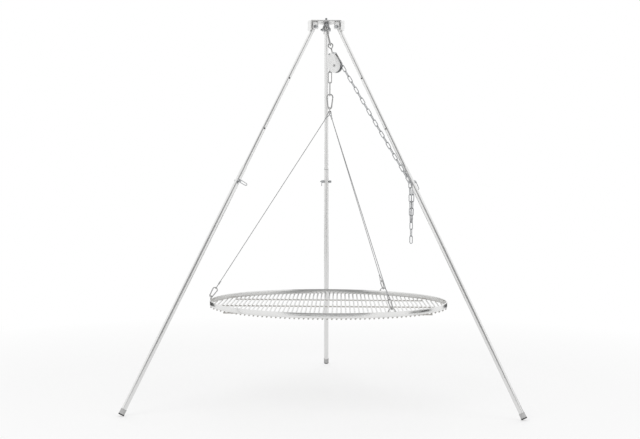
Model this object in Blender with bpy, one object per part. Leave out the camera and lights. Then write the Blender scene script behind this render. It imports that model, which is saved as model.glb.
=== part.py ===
# Tripod swing grill: three folding tube legs, a head plate with an eye bolt, a pulley on a
# carabiner, a chain over its wheel to one leg, and a round grate on three wire ropes.
# Metres, +Z up. The tripod's axis stands at X = 0 and is moved back by CENTRE_Y, so that the
# origin is below the middle of the bounding box. Leg A points away (+Y), B to the front left,
# C, which carries the chain, to the front right.
import math

import bmesh
import bpy
from mathutils import Matrix, Vector

for old in list(bpy.data.objects):
    bpy.data.objects.remove(old)

# Driving dimensions
CENTRE_Y = -0.2000
LEG_AZIMUTHS = {"a": 90.0, "b": 210.0, "c": 330.0}
FOOT_R = 0.900
PIVOT_R = 0.058
PIVOT_Z = 1.563
UPPER_RADIUS = 0.0086
UPPER_BORE = 0.0071
LOWER_RADIUS = 0.01065
LOWER_BORE = 0.00905
CAP_RADIUS = 0.0121
CAP_BORE = 0.0111
CAP_LENGTH = 0.024
CAP_CHAMFER = 0.0010
TUBE_SIDES = 24
UPPER_LENGTH = 0.800
LOWER_START = 0.670
JOINT_S = 0.735
SPARE_HOLES = (0.25, 0.49)
PLATE_TOP = 1.589
PLATE_THICK = 0.004
PLATE_CORNER_R = 0.0814
FLANGE_HALF = 0.0125
FLANGE_LOW = 1.546
FLANGE_CORNER = 0.003
BEND_OUTER = 0.0055
BEND_INNER = 0.0015
BRACKET_HALF = 0.0125
BRACKET_REACH = 0.013
BRACKET_LOW = -0.0105
BRACKET_SHEET = 0.0031
BRACKET_CORNER = 0.007
EYE_Z = 1.562
EYE_RING_R = 0.0115
EYE_ROD_R = 0.004
HOOP_R = 0.500
HOOP_WALL = 0.004
HOOP_TOP = 0.4147
HOOP_HEIGHT = 0.0205
ROD_R = 0.003
ROD_PITCH = 0.018
ROD_COUNT = 55
BAR_OFFSET = 0.27
LINK_PITCH = 0.028
LINK_WIRE_R = 0.00175
LINK_ARC_R = 0.00575
RUN_LINKS = 21
AXLE_R = 0.0465
AXLE_Z = 1.4014
CHAIN_R = 0.0265
HOOK_SIDE = -0.0200
TAIL_SIDE = 0.0146
WRAP_PLAY = 0.0020
DROP_R = AXLE_R - CHAIN_R
GAP = 0.0004

UP = Vector((0, 0, 1))
AXIS_C = Vector((math.cos(math.radians(330)), math.sin(math.radians(330)), 0))
SIDE_C = UP.cross(AXIS_C)


def radial(degrees):
    angle = math.radians(degrees)
    return Vector((math.cos(angle), math.sin(angle), 0))


def basis(origin, x_axis, y_axis, z_axis):
    matrix = Matrix.Identity(4)
    for column, vector in enumerate((x_axis, y_axis, z_axis, origin)):
        for row in range(3):
            matrix[row][column] = vector[row]
    return matrix


def aimed(origin, z_axis, x_hint):
    # A frame with Z along z_axis and X as near to x_hint as it can be.
    z_dir = Vector(z_axis).normalized()
    y_dir = z_dir.cross(Vector(x_hint)).normalized()
    return basis(Vector(origin), y_dir.cross(z_dir), y_dir, z_dir)


def mesh_of(bm):
    bmesh.ops.recalc_face_normals(bm, faces=bm.faces)
    mesh = bpy.data.meshes.new("solid")
    bm.to_mesh(mesh)
    bm.free()
    return mesh


def moved(mesh, matrix):
    mesh.transform(matrix)
    return mesh


def cylinder(start, end, radius, sides, end_radius=None, x_hint=(0.1, 0.2, 1)):
    start = Vector(start)
    end = Vector(end)
    axis = end - start
    if abs(axis.normalized().dot(Vector(x_hint).normalized())) > 0.99:
        x_hint = (1, 0, 0)
    frame = aimed(start, axis, x_hint)
    bm = bmesh.new()
    rings = []
    for height, size in ((0, radius), (axis.length, end_radius or radius)):
        ring = []
        for k in range(sides):
            angle = 2 * math.pi * (k + 0.5) / sides
            point = Vector((size * math.cos(angle), size * math.sin(angle), height))
            ring.append(bm.verts.new(frame @ point))
        rings.append(ring)
    for k in range(sides):
        j = (k + 1) % sides
        bm.faces.new((rings[0][k], rings[0][j], rings[1][j], rings[1][k]))
    bm.faces.new(rings[0][::-1])
    bm.faces.new(rings[1])
    return mesh_of(bm)


def box(frame, low, high):
    bm = bmesh.new()
    bmesh.ops.create_cube(bm, size=1)
    low = Vector(low)
    high = Vector(high)
    for vert in bm.verts:
        for k in range(3):
            vert.co[k] = low[k] + (vert.co[k] + 0.5) * (high[k] - low[k])
    bmesh.ops.transform(bm, matrix=frame, verts=bm.verts)
    return mesh_of(bm)


def prism(frame, outline, low, high):
    bm = bmesh.new()
    rings = []
    for height in (low, high):
        rings.append([bm.verts.new(frame @ Vector((x, y, height))) for x, y in outline])
    count = len(outline)
    for k in range(count):
        j = (k + 1) % count
        bm.faces.new((rings[0][k], rings[0][j], rings[1][j], rings[1][k]))
    bm.faces.new(rings[0][::-1])
    bm.faces.new(rings[1])
    return mesh_of(bm)


def lathe(frame, profile, segments):
    # Closed profile of (radius, height) points turned about the frame's Z axis.
    bm = bmesh.new()
    rings = []
    for k in range(segments):
        angle = 2 * math.pi * k / segments
        ring = [frame @ Vector((r * math.cos(angle), r * math.sin(angle), h)) for r, h in profile]
        rings.append([bm.verts.new(point) for point in ring])
    count = len(profile)
    for k in range(segments):
        here = rings[k]
        after = rings[(k + 1) % segments]
        for i in range(count):
            j = (i + 1) % count
            bm.faces.new((here[i], after[i], after[j], here[j]))
    return mesh_of(bm)


def sweep(frame, path, radius, sides, closed, start_shear=0.0, end_shear=0.0):
    # Round wire along a path in the frame's X-Z plane, mitred at each bend.
    points = [Vector((x, 0, z)) for x, z in path]
    count = len(points)
    normal = Vector((0, 1, 0))
    bm = bmesh.new()
    rings = []
    for i, point in enumerate(points):
        before = points[i - 1] if closed or i > 0 else point
        after = points[(i + 1) % count] if closed or i < count - 1 else point
        into = (point - before).normalized() if (point - before).length > 0 else None
        out = (after - point).normalized() if (after - point).length > 0 else None
        into = into or out
        out = out or into
        tangent = (into + out).normalized()
        side = tangent.cross(normal)
        stretch = 1 / max(tangent.dot(out), 0.5)
        shear = 0.0
        if not closed and i == 0:
            shear = start_shear
        if not closed and i == count - 1:
            shear = end_shear
        ring = []
        for k in range(sides):
            angle = 2 * math.pi * k / sides
            across = radius * stretch * math.cos(angle)
            offset = side * across + normal * (radius * math.sin(angle))
            ring.append(bm.verts.new(frame @ (point + offset + tangent * (shear * across))))
        rings.append(ring)
    last = count if closed else count - 1
    for i in range(last):
        here = rings[i]
        after = rings[(i + 1) % count]
        for k in range(sides):
            j = (k + 1) % sides
            bm.faces.new((here[k], here[j], after[j], after[k]))
    if not closed:
        bm.faces.new(rings[0][::-1])
        bm.faces.new(rings[-1])
    return mesh_of(bm)


def pear(length, top_r, low_r, steps):
    # Closed centreline of two arcs and two tangents; the top crown is at z = 0.
    top_z = -top_r
    low_z = -length + low_r
    lean = 0.0
    if top_z > low_z:
        lean = math.asin((top_r - low_r) / (top_z - low_z))
    path = []
    for k in range(steps + 1):
        angle = -lean + (math.pi + 2 * lean) * k / steps
        path.append((top_r * math.cos(angle), top_z + top_r * math.sin(angle)))
    for k in range(steps + 1):
        angle = math.pi + lean + (math.pi - 2 * lean) * k / steps
        path.append((low_r * math.cos(angle), low_z + low_r * math.sin(angle)))
    if top_z == low_z:
        path = [p for i, p in enumerate(path) if i not in (steps + 1, 2 * steps + 1)]
    return path


def gathered(meshes):
    bm = bmesh.new()
    for mesh in meshes:
        bm.from_mesh(mesh)
    mesh = bpy.data.meshes.new("solid")
    bm.to_mesh(mesh)
    bm.free()
    return mesh


def boolean(first, second, operation):
    left = bpy.data.objects.new("left", first)
    right = bpy.data.objects.new("right", second)
    for item in (left, right):
        bpy.context.scene.collection.objects.link(item)
    modifier = left.modifiers.new("boolean", "BOOLEAN")
    modifier.operation = operation
    modifier.solver = "EXACT"
    modifier.object = right
    graph = bpy.context.evaluated_depsgraph_get()
    result = bpy.data.meshes.new_from_object(left.evaluated_get(graph))
    bpy.data.objects.remove(left)
    bpy.data.objects.remove(right)
    bm = bmesh.new()
    bm.from_mesh(result)
    bmesh.ops.remove_doubles(bm, verts=bm.verts, dist=0.000002)
    bmesh.ops.dissolve_limit(bm, angle_limit=0.0005, verts=bm.verts, edges=bm.edges)
    bm.to_mesh(result)
    bm.free()
    return result


def union(first, *others):
    for other in others:
        first = boolean(first, other, "UNION")
    return first


def cut(first, *others):
    for other in others:
        first = boolean(first, other, "DIFFERENCE")
    return first


FINISHES = {
    "zinc": ((0.62, 0.63, 0.64), 0.34, 1.0),
    "steel": ((0.70, 0.70, 0.69), 0.26, 1.0),
    "rope": ((0.55, 0.56, 0.57), 0.45, 1.0),
    "rubber": ((0.035, 0.035, 0.037), 0.75, 0.0),
}


def place(name, mesh, finish, pivot=(0, 0, 0), smooth=True):
    pivot = Vector(pivot)
    mesh.transform(Matrix.Translation(-pivot))
    mesh.name = name
    colour, roughness, metallic = FINISHES[finish]
    material = bpy.data.materials.new("mat_" + name)
    material.use_nodes = True
    shader = material.node_tree.nodes["Principled BSDF"]
    shader.inputs["Base Color"].default_value = (*colour, 1)
    shader.inputs["Roughness"].default_value = roughness
    shader.inputs["Metallic"].default_value = metallic
    mesh.materials.clear()
    mesh.materials.append(material)
    if smooth:
        mesh.shade_smooth()
        mesh.set_sharp_from_angle(angle=math.radians(50))
    item = bpy.data.objects.new(name, mesh)
    bpy.context.scene.collection.objects.link(item)
    item.location = pivot + Vector((0, CENTRE_Y, 0))
    return item


def hexagon(frame, flats, low, high):
    radius = flats / math.sqrt(3)
    outline = []
    for k in range(6):
        angle = math.pi * k / 3
        outline.append((radius * math.cos(angle), radius * math.sin(angle)))
    return prism(frame, outline, low, high)


def rounded(corners, radii, steps=3):
    # Outline through the corners, each turned with an arc of its own radius.
    points = []
    for i, radius in enumerate(radii):
        here = Vector(corners[i])
        if radius == 0:
            points.append(tuple(here))
            continue
        into = (here - Vector(corners[i - 1])).normalized()
        out = (Vector(corners[(i + 1) % len(corners)]) - here).normalized()
        half = into.angle(out) / 2
        centre = here + (out - into).normalized() * (radius / math.cos(half))
        start = here - into * (radius * math.tan(half)) - centre
        turn = 2 * half if into.cross(out) > 0 else -2 * half
        for k in range(steps + 1):
            angle = turn * k / steps
            x = start.x * math.cos(angle) - start.y * math.sin(angle)
            y = start.x * math.sin(angle) + start.y * math.cos(angle)
            points.append((centre.x + x, centre.y + y))
    return points


def tube(start, end, outer, bore, hint):
    return cut(
        cylinder(start, end, outer, TUBE_SIDES, x_hint=hint),
        cylinder(start - (end - start), end + (end - start), bore, TUBE_SIDES, x_hint=hint),
    )


# Legs: upper tube in the lower one, a bolt through both, a bow nut and a foot cap
LEAN = math.atan2(FOOT_R - PIVOT_R, PIVOT_Z)
for _ in range(6):
    # The cap's chamfered foot stands on the ground, on the flat of its lowest side
    CAP_LOW = (CAP_RADIUS - CAP_CHAMFER) * math.cos(math.pi / TUBE_SIDES) * math.sin(LEAN)
    LEAN = math.atan2(FOOT_R - PIVOT_R, PIVOT_Z - CAP_LOW)
LEG_LENGTH = math.hypot(FOOT_R - PIVOT_R, PIVOT_Z - CAP_LOW)


def leg_point(out, s):
    return out * (PIVOT_R + s * math.sin(LEAN)) + UP * (PIVOT_Z - s * math.cos(LEAN))


for letter, azimuth in LEG_AZIMUTHS.items():
    out = radial(azimuth)
    side = UP.cross(out)
    pivot = out * PIVOT_R + UP * PIVOT_Z
    down = leg_point(out, 1) - leg_point(out, 0)
    upper = tube(leg_point(out, -0.012), leg_point(out, UPPER_LENGTH), UPPER_RADIUS, UPPER_BORE, side)
    for s, hole in ((0, 0.0043), (SPARE_HOLES[0], 0.0035), (SPARE_HOLES[1], 0.0035), (JOINT_S, 0.0035)):
        centre = leg_point(out, s)
        upper = cut(upper, cylinder(centre - side * 0.03, centre + side * 0.03, hole, 10))
    place("upper_tube_" + letter, upper, "steel", pivot)
    joint = leg_point(out, JOINT_S)
    tube_end = leg_point(out, LEG_LENGTH - 0.0045)
    lower = tube(leg_point(out, LOWER_START), tube_end, LOWER_RADIUS, LOWER_BORE, side)
    lower = cut(lower, cylinder(joint - side * 0.03, joint + side * 0.03, 0.0035, 10))
    place("lower_tube_" + letter, lower, "steel", pivot)
    # The cap is a short bar, its foot chamfered by what it shares with a cone
    cap_top = leg_point(out, LEG_LENGTH - CAP_LENGTH)
    cap_foot = leg_point(out, LEG_LENGTH)
    foot_radius = CAP_RADIUS - CAP_CHAMFER
    cone_start = leg_point(out, LEG_LENGTH - 0.03)
    cap_cone = cylinder(cone_start, cap_foot, foot_radius + 0.03, TUBE_SIDES, foot_radius, side)
    cap = cylinder(cap_top, cap_foot + down * 0.001, CAP_RADIUS, TUBE_SIDES, x_hint=side)
    cap = boolean(cap, cap_cone, "INTERSECT")
    floor_inside = leg_point(out, LEG_LENGTH - 0.004)
    cap = cut(cap, cylinder(cap_top - down * 0.05, floor_inside, CAP_BORE, TUBE_SIDES, x_hint=side))
    place("foot_cap_" + letter, cap, "rubber", pivot)
    # Bolt frame: Z along the bolt towards the nut, X pointing outwards and up from the leg
    bolt_frame = aimed(joint, side, out)
    if letter == "c":
        head_at, collar_at, nut_at = -0.0230, None, 0.0180
    else:
        head_at, collar_at, nut_at = -0.0185, -0.0113, 0.0113
    bolt = cylinder(joint + side * (head_at - 0.001), joint + side * (nut_at + 0.0165), 0.0029, 12)
    bolt = union(bolt, hexagon(bolt_frame, 0.010, head_at - 0.0045, head_at))
    if collar_at:
        bolt = union(bolt, cylinder(joint + side * (head_at - 0.0002), joint + side * collar_at, 0.0058, 12))
    place("joint_bolt_" + letter, bolt, "zinc", joint, False)
    # The bow of the nut points inwards from the leg, or down the leg at C
    lean_in = out * -math.cos(LEAN) - UP * math.sin(LEAN)
    bow_dir = down if letter == "c" else lean_in
    bow_start = joint + side * (nut_at + 0.0095) - bow_dir * 0.0045
    bow_frame = aimed(bow_start, -bow_dir, side.cross(bow_dir))
    bow_path = pear(0.040, 0.0052, 0.0045, 4)
    bow = sweep(bow_frame, bow_path, 0.0016, 6, True)
    nut = cut(
        hexagon(bolt_frame, 0.0125, nut_at, nut_at + 0.012),
        cylinder(joint, joint + side * 0.06, 0.0033, 12),
    )
    nut = union(nut, bow)
    nut = cut(nut, cylinder(joint, joint + side * 0.06, 0.0033, 12))
    place("bow_nut_" + letter, nut, "zinc", joint, False)

# Head: plate with bent corners, a bracket, bolt and nut for each leg, the eye bolt and its nut
PLATE_LOW = PLATE_TOP - PLATE_THICK
FLAT_R = PLATE_CORNER_R - BEND_OUTER - 0.001
FLAT_HALF = FLANGE_HALF + (PLATE_CORNER_R - FLAT_R) * math.tan(math.radians(30))
outline = []
for azimuth in LEG_AZIMUTHS.values():
    out = radial(azimuth)
    side = UP.cross(out)
    for sign in (-1, 1):
        corner = out * FLAT_R + side * (sign * FLAT_HALF)
        outline.append((corner.x, corner.y))
plate = prism(Matrix.Identity(4), outline, PLATE_LOW, PLATE_TOP)
fold_corners = [
    (FLAT_R - 0.001, PLATE_LOW), (PLATE_CORNER_R - PLATE_THICK, PLATE_LOW),
    (PLATE_CORNER_R - PLATE_THICK, FLANGE_LOW), (PLATE_CORNER_R, FLANGE_LOW),
    (PLATE_CORNER_R, PLATE_TOP), (FLAT_R - 0.001, PLATE_TOP),
]
fold = rounded(fold_corners, (0, BEND_INNER, 0, 0, BEND_OUTER, 0), 4)
tab_corners = [
    (-FLANGE_HALF, PLATE_TOP + 0.01), (-FLANGE_HALF, FLANGE_LOW),
    (FLANGE_HALF, FLANGE_LOW), (FLANGE_HALF, PLATE_TOP + 0.01),
]
tab = rounded(tab_corners, (0, FLANGE_CORNER, FLANGE_CORNER, 0))
for azimuth in LEG_AZIMUTHS.values():
    out = radial(azimuth)
    side = UP.cross(out)
    folded = prism(basis(Vector(), out, UP, side * -1), fold, -0.02, 0.02)
    folded = boolean(folded, prism(basis(Vector(), side, UP, out), tab, 0.05, 0.10), "INTERSECT")
    plate = union(plate, folded)
plate = cut(plate, cylinder((0, 0, 1.5), (0, 0, 1.7), 0.0053, 16))
place("head_plate", plate, "steel", smooth=False)

for letter, azimuth in LEG_AZIMUTHS.items():
    out = radial(azimuth)
    side = UP.cross(out)
    pivot = out * PIVOT_R + UP * PIVOT_Z
    frame = basis(pivot, out, side, UP)
    web_top = PLATE_LOW - 0.0003 - PIVOT_Z
    inner = BRACKET_HALF - BRACKET_SHEET
    channel_corners = [
        (-BRACKET_HALF, BRACKET_LOW), (-BRACKET_HALF, web_top), (BRACKET_HALF, web_top),
        (BRACKET_HALF, BRACKET_LOW), (inner, BRACKET_LOW), (inner, web_top - BRACKET_SHEET),
        (-inner, web_top - BRACKET_SHEET), (-inner, BRACKET_LOW),
    ]
    bends = (0, BEND_INNER + BRACKET_SHEET, BEND_INNER + BRACKET_SHEET, 0, 0, BEND_INNER, BEND_INNER, 0)
    channel = prism(basis(pivot, side, UP, out), rounded(channel_corners, bends), -BRACKET_REACH, BRACKET_REACH)
    ear_corners = [
        (-BRACKET_REACH, web_top + 0.01), (-BRACKET_REACH, BRACKET_LOW),
        (BRACKET_REACH, BRACKET_LOW), (BRACKET_REACH, web_top + 0.01),
    ]
    ears = rounded(ear_corners, (0, BRACKET_CORNER, BRACKET_CORNER, 0))
    bracket = boolean(channel, prism(basis(pivot, out, UP, side * -1), ears, -0.03, 0.03), "INTERSECT")
    bracket = cut(bracket, cylinder(pivot - side * 0.03, pivot + side * 0.03, 0.0043, 12))
    place("hinge_bracket_" + letter, bracket, "steel", smooth=False)
    bolt = cylinder(pivot - side * 0.0135, pivot + side * 0.0250, 0.0038, 12)
    bolt = union(bolt, hexagon(frame @ Matrix.Rotation(math.radians(90), 4, "X"), 0.013, 0.0129, 0.0182))
    place("hinge_bolt_" + letter, bolt, "zinc", smooth=False)
    nut = cut(
        hexagon(frame @ Matrix.Rotation(math.radians(-90), 4, "X"), 0.013, 0.0129, 0.0194),
        cylinder(pivot, pivot + side * 0.05, 0.0042, 12),
    )
    place("hinge_nut_" + letter, nut, "zinc", smooth=False)

eye_centre = Vector((0, 0, EYE_Z))
eye = sweep(Matrix.Translation(eye_centre + UP * EYE_RING_R), pear(2 * EYE_RING_R, EYE_RING_R, EYE_RING_R, 6), EYE_ROD_R, 8, True)
eye = union(eye, cylinder(eye_centre + UP * (EYE_RING_R - 0.001), (0, 0, 1.604), 0.0049, 12))
place("eye_bolt", eye, "zinc")
eye_nut = cut(
    hexagon(Matrix.Translation((0, 0, 1.5788)), 0.017, 0, 0.0058),
    cylinder((0, 0, 1.5), (0, 0, 1.7), 0.0053, 12),
)
place("eye_nut", eye_nut, "zinc", smooth=False)

# Pulley line: from the eye's seat down to the axle, in the upright plane of leg C
AXLE = AXIS_C * AXLE_R + UP * AXLE_Z
pull = AXLE - eye_centre
SEAT = eye_centre + Vector((pull.x, 0, pull.z)).normalized() * (EYE_RING_R - EYE_ROD_R)
LINE = (SEAT - AXLE).normalized()
LINE_LENGTH = (SEAT - AXLE).length
TOWARDS_Y = (Vector((0, 1, 0)) - LINE * LINE.y).normalized()
TOWARDS_X = TOWARDS_Y.cross(LINE)


def carabiner(name, gate_name, frame, length, wire_r, top_r, low_r, pin_pivot):
    # Bent wire body with an open side (+X) and a forked gate on a pin at its narrow end.
    # The frame's origin is at the outer top of the wide end, Z pointing up.
    reach = length - 2 * wire_r
    loop = pear(reach, top_r, low_r, 6)
    shift = Matrix.Translation((0, 0, -wire_r))
    top_start = Vector((loop[0][0], 0, loop[0][1]))
    low_end = Vector((loop[-1][0], 0, loop[-1][1]))
    along = (top_start - low_end).normalized()
    hinge = low_end + along * (wire_r * 2.0)
    tongue_end = hinge + along * (wire_r * 0.8)
    nose = top_start - along * (wire_r * 1.1)
    path = [(nose.x, nose.z)] + loop + [(tongue_end.x, tongue_end.z)]
    body = sweep(frame @ shift, path, wire_r, 8, False, start_shear=0.8)
    flat = aimed(hinge, along, (1, 0, 0))
    half = wire_r * 0.36
    shoulder = -wire_r * 1.45
    for sign in (-1, 1):
        low = (-wire_r * 1.6, min(sign * half, sign * wire_r * 2), shoulder)
        high = (wire_r * 1.6, max(sign * half, sign * wire_r * 2), wire_r * 3)
        body = cut(body, box(frame @ shift @ flat, low, high))
    pin_r = wire_r * 0.30
    y_dir = (frame @ shift @ flat).to_3x3() @ Vector((0, 1, 0))
    pin_centre = frame @ shift @ hinge
    body = cut(body, cylinder(pin_centre - y_dir * 0.01, pin_centre + y_dir * 0.01, pin_r + 0.0003, 8))
    place(name, body, "steel", pin_pivot)
    foot = hinge - along * (wire_r * 0.8)
    tip = nose - along * (wire_r * 0.25)
    gate_path = [(foot.x, foot.z), (tip.x, tip.z)]
    gate = sweep(frame @ shift, gate_path, wire_r * 0.97, 8, False, end_shear=0.8)
    low = (-wire_r * 2, -half - 0.0003, -wire_r * 2)
    high = (wire_r * 2, half + 0.0003, wire_r * 1.55)
    gate = cut(gate, box(frame @ shift @ flat, low, high))
    gate = union(gate, cylinder(pin_centre - y_dir * wire_r * 0.85, pin_centre + y_dir * wire_r * 0.85, pin_r, 8))
    place(gate_name, gate, "steel", pin_centre)
    return pin_centre, y_dir


# Top carabiner, edge-on from the front, through the eye
top_frame = aimed(SEAT + LINE * (0.008 + 2 * GAP), LINE, TOWARDS_Y)
GATE_PINS = {}
GATE_PINS["top_gate"] = carabiner("top_carabiner", "top_gate", top_frame, 0.080, 0.004, 0.0135, 0.0085, SEAT)

# Swivel: pear ring, stem and the head held in the bridge
ring_top = LINE_LENGTH + 0.008 + 2 * GAP - 0.080 + 0.008 + GAP + 0.0025
ring_frame = aimed(AXLE + LINE * ring_top, LINE, TOWARDS_X)
swivel = sweep(ring_frame, pear(0.0235, 0.0098, 0.0035, 6), 0.0025, 8, True)
swivel = union(
    swivel,
    cylinder(AXLE + LINE * 0.0470, AXLE + LINE * (ring_top - 0.0230), 0.0032, 10),
    cylinder(AXLE + LINE * 0.0430, AXLE + LINE * 0.0476, 0.0052, 10),
)
place("pulley_swivel", swivel, "steel", SEAT)

# Pulley: two cheeks, a bridge riveted between them, axle and grooved wheel
CHEEK_IN = 0.0095
CHEEK_OUT = 0.0120
pulley = aimed(AXLE, SIDE_C, LINE.cross(SIDE_C))
centres = [(0.0, 0.0, 0.0295), (0.0095, 0.0530, 0.0045), (-0.0095, 0.0530, 0.0045)]


def cheek_outline():
    # Outline round the three circles: the corners where neighbouring tangent lines meet.
    tangents = []
    for k in range(64):
        angle = 2 * math.pi * k / 64
        best = max(c[0] * math.cos(angle) + c[1] * math.sin(angle) + c[2] for c in centres)
        tangents.append((angle, best))
    hull = []
    for k in range(64):
        a0, d0 = tangents[k]
        a1, d1 = tangents[(k + 1) % 64]
        det = math.sin(a1 - a0)
        x = (d0 * math.sin(a1) - d1 * math.sin(a0)) / det
        y = (d1 * math.cos(a0) - d0 * math.cos(a1)) / det
        if not hull or math.hypot(x - hull[-1][0], y - hull[-1][1]) > 0.0012:
            hull.append((x, y))
    return hull


plane = basis(AXLE, LINE.cross(SIDE_C) * -1, LINE, LINE.cross(SIDE_C).cross(LINE))
normal = plane.to_3x3() @ Vector((0, 0, 1))
for name, low, high in (("pulley_cheek_back", CHEEK_IN, CHEEK_OUT), ("pulley_cheek_front", -CHEEK_OUT, -CHEEK_IN)):
    sign = 1 if normal.dot(SIDE_C) > 0 else -1
    cheek = prism(plane, cheek_outline(), min(sign * low, sign * high), max(sign * low, sign * high))
    cheek = cut(cheek, cylinder(AXLE - normal * 0.03, AXLE + normal * 0.03, 0.0044, 12))
    for x in (-0.0095, 0.0095):
        centre = plane @ Vector((x, 0.0530, 0))
        cheek = cut(cheek, cylinder(centre - normal * 0.03, centre + normal * 0.03, 0.0024, 8))
    place(name, cheek, "steel", SEAT, False)
bridge = box(plane, (-0.0125, 0.0480, -CHEEK_IN + 0.0003), (0.0125, 0.0565, CHEEK_IN - 0.0003))
bridge = cut(bridge, cylinder(AXLE + LINE * 0.03, AXLE + LINE * 0.07, 0.0036, 12))
for x in (-0.0095, 0.0095):
    centre = plane @ Vector((x, 0.0530, 0))
    bridge = union(bridge, cylinder(centre - normal * 0.0148, centre + normal * 0.0148, 0.0020, 8))
    for sign in (-1, 1):
        start = centre + normal * (sign * (CHEEK_OUT + 0.0003))
        bridge = union(bridge, cylinder(start, start + normal * (sign * 0.0022), 0.0038, 10))
place("pulley_bridge", bridge, "steel", SEAT, False)
axle = cylinder(AXLE - normal * 0.0142, AXLE + normal * 0.0142, 0.0040, 12)
for sign in (-1, 1):
    start = AXLE + normal * (sign * (CHEEK_OUT + 0.0003))
    axle = union(axle, cylinder(start, start + normal * (sign * 0.0024), 0.0062, 12))
place("pulley_axle", axle, "zinc", SEAT, False)
wheel_profile = [
    (0.0045, -0.0090), (0.0285, -0.0090), (0.0285, -0.0084), (0.0202, -0.0080), (0.0198, -0.0025),
    (0.0142, -0.0023), (0.0142, 0.0023), (0.0198, 0.0025), (0.0202, 0.0080), (0.0285, 0.0084),
    (0.0285, 0.0090), (0.0045, 0.0090),
]
wheel = lathe(aimed(AXLE, SIDE_C, AXIS_C), wheel_profile, 28)
place("pulley_wheel", wheel, "zinc", AXLE)

# Chain: joints walked from the hook on leg C up the run, over the wheel and down the drop
HOOK = leg_point(AXIS_C, JOINT_S) + SIDE_C * HOOK_SIDE


def tangent_point(target):
    # Where the straight run to the target leaves the wheel, on its outer upper side.
    flat = Vector((target.dot(AXIS_C) - AXLE_R, target.z - AXLE_Z))
    angle = math.atan2(flat.y, flat.x) + math.acos(CHAIN_R / flat.length)
    return angle


RUN_ANGLE = tangent_point(HOOK)


def on_wheel(angle):
    return AXLE + AXIS_C * (CHAIN_R * math.cos(angle)) + UP * (CHAIN_R * math.sin(angle))


LEAVE = on_wheel(RUN_ANGLE)
RUN_UP = (LEAVE - HOOK).normalized()
ARC = (math.pi - RUN_ANGLE) * CHAIN_R


def chain_path(s):
    # Distance s up from the hook: run, arc over the wheel, then straight down.
    run = (LEAVE - HOOK).length
    if s <= run:
        return HOOK + RUN_UP * s
    if s <= run + ARC:
        return on_wheel(RUN_ANGLE + (s - run) / CHAIN_R)
    return on_wheel(math.pi) - UP * (s - run - ARC)


def next_joint(s):
    low = s
    high = s + LINK_PITCH * 1.6
    start = chain_path(s)
    for _ in range(60):
        middle = (low + high) / 2
        if (chain_path(middle) - start).length < LINK_PITCH:
            low = middle
        else:
            high = middle
    return (low + high) / 2


def link(start, end, plane_normal, slack=0.0):
    # One oval link whose inner crowns reach a little past both joints, so links fuse there.
    direction = (end - start).normalized()
    flat_normal = (plane_normal - direction * plane_normal.dot(direction)).normalized()
    frame = basis((start + end) / 2, direction.cross(flat_normal) * -1, flat_normal, direction)
    crown = (end - start).length / 2 - 0.00025 - slack + LINK_WIRE_R
    path = [(x, z + crown) for x, z in pear(2 * crown, LINK_ARC_R, LINK_ARC_R, 4)]
    return sweep(frame, path, LINK_WIRE_R, 6, True)


def strand(joints, normals):
    links = [link(joints[i], joints[i + 1], normals[i]) for i in range(len(joints) - 1)]
    if len(links) == 1:
        return links[0]
    return union(gathered(links[0::2]), gathered(links[1::2]))


def alternating(joints, first):
    normals = []
    for i in range(len(joints) - 1):
        direction = (joints[i + 1] - joints[i]).normalized()
        normals.append(SIDE_C if (i % 2 == 0) == first else direction.cross(SIDE_C))
    return normals


RUN_START = -(0.0029 + GAP + 0.00025)
stations = [RUN_START]
for _ in range(RUN_LINKS):
    stations.append(next_joint(stations[-1]))
run_joints = [chain_path(s) for s in stations]
place("chain_run", strand(run_joints, alternating(run_joints, True)), "zinc", HOOK)
wrap_stations = [stations[-1] - WRAP_PLAY]
while chain_path(wrap_stations[-1]).z > 1.385 or wrap_stations[-1] < (LEAVE - HOOK).length + ARC:
    wrap_stations.append(next_joint(wrap_stations[-1]))
wrap_joints = [chain_path(s) for s in wrap_stations]
wrap_normals = alternating(wrap_joints, RUN_LINKS % 2 == 0)
wrap_normals[-1] = radial(30)
place("chain_wrap", strand(wrap_joints, wrap_normals), "zinc", SEAT)

# Drop: a long link and a short one below the chain, in line with the grate's centre
DROP = AXIS_C * DROP_R
drop_top = wrap_joints[-1].z
upper_wire = 0.0020
upper_crown = drop_top + 0.00025 + 1.5 * GAP + upper_wire
UPPER_LONG = 0.0530 - 2 * upper_wire
upper_frame = basis(DROP + UP * upper_crown, Vector((1, 0, 0)), Vector((0, 1, 0)), UP)
upper_link = sweep(upper_frame, pear(UPPER_LONG, 0.0068, 0.0068, 6), upper_wire, 8, True)
SWING = DROP + UP * drop_top
place("drop_link_upper", upper_link, "steel", SWING)
lower_wire = 0.0025
lower_crown = upper_crown - UPPER_LONG + upper_wire + lower_wire + GAP
LOWER_LONG = 0.0625 - 2 * lower_wire
lower_frame = basis(DROP + UP * lower_crown, Vector((0, 1, 0)), Vector((-1, 0, 0)), UP)
lower_link = sweep(lower_frame, pear(LOWER_LONG, 0.0070, 0.0070, 6), lower_wire, 8, True)
place("drop_link_lower", lower_link, "steel", SWING)

# Large carabiner, wide end up, facing the front
big_wire = 0.0030
big_top = lower_crown - LOWER_LONG + lower_wire + GAP + 2 * big_wire
CROSS = DROP + UP * (big_top - 2 * big_wire - GAP / 2)
big_frame = basis(DROP + UP * big_top, Vector((1, 0, 0)), Vector((0, 1, 0)), UP)
GATE_PINS["big_gate"] = carabiner("big_carabiner", "big_gate", big_frame, 0.0660, big_wire, 0.0125, 0.0075, CROSS)

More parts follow.
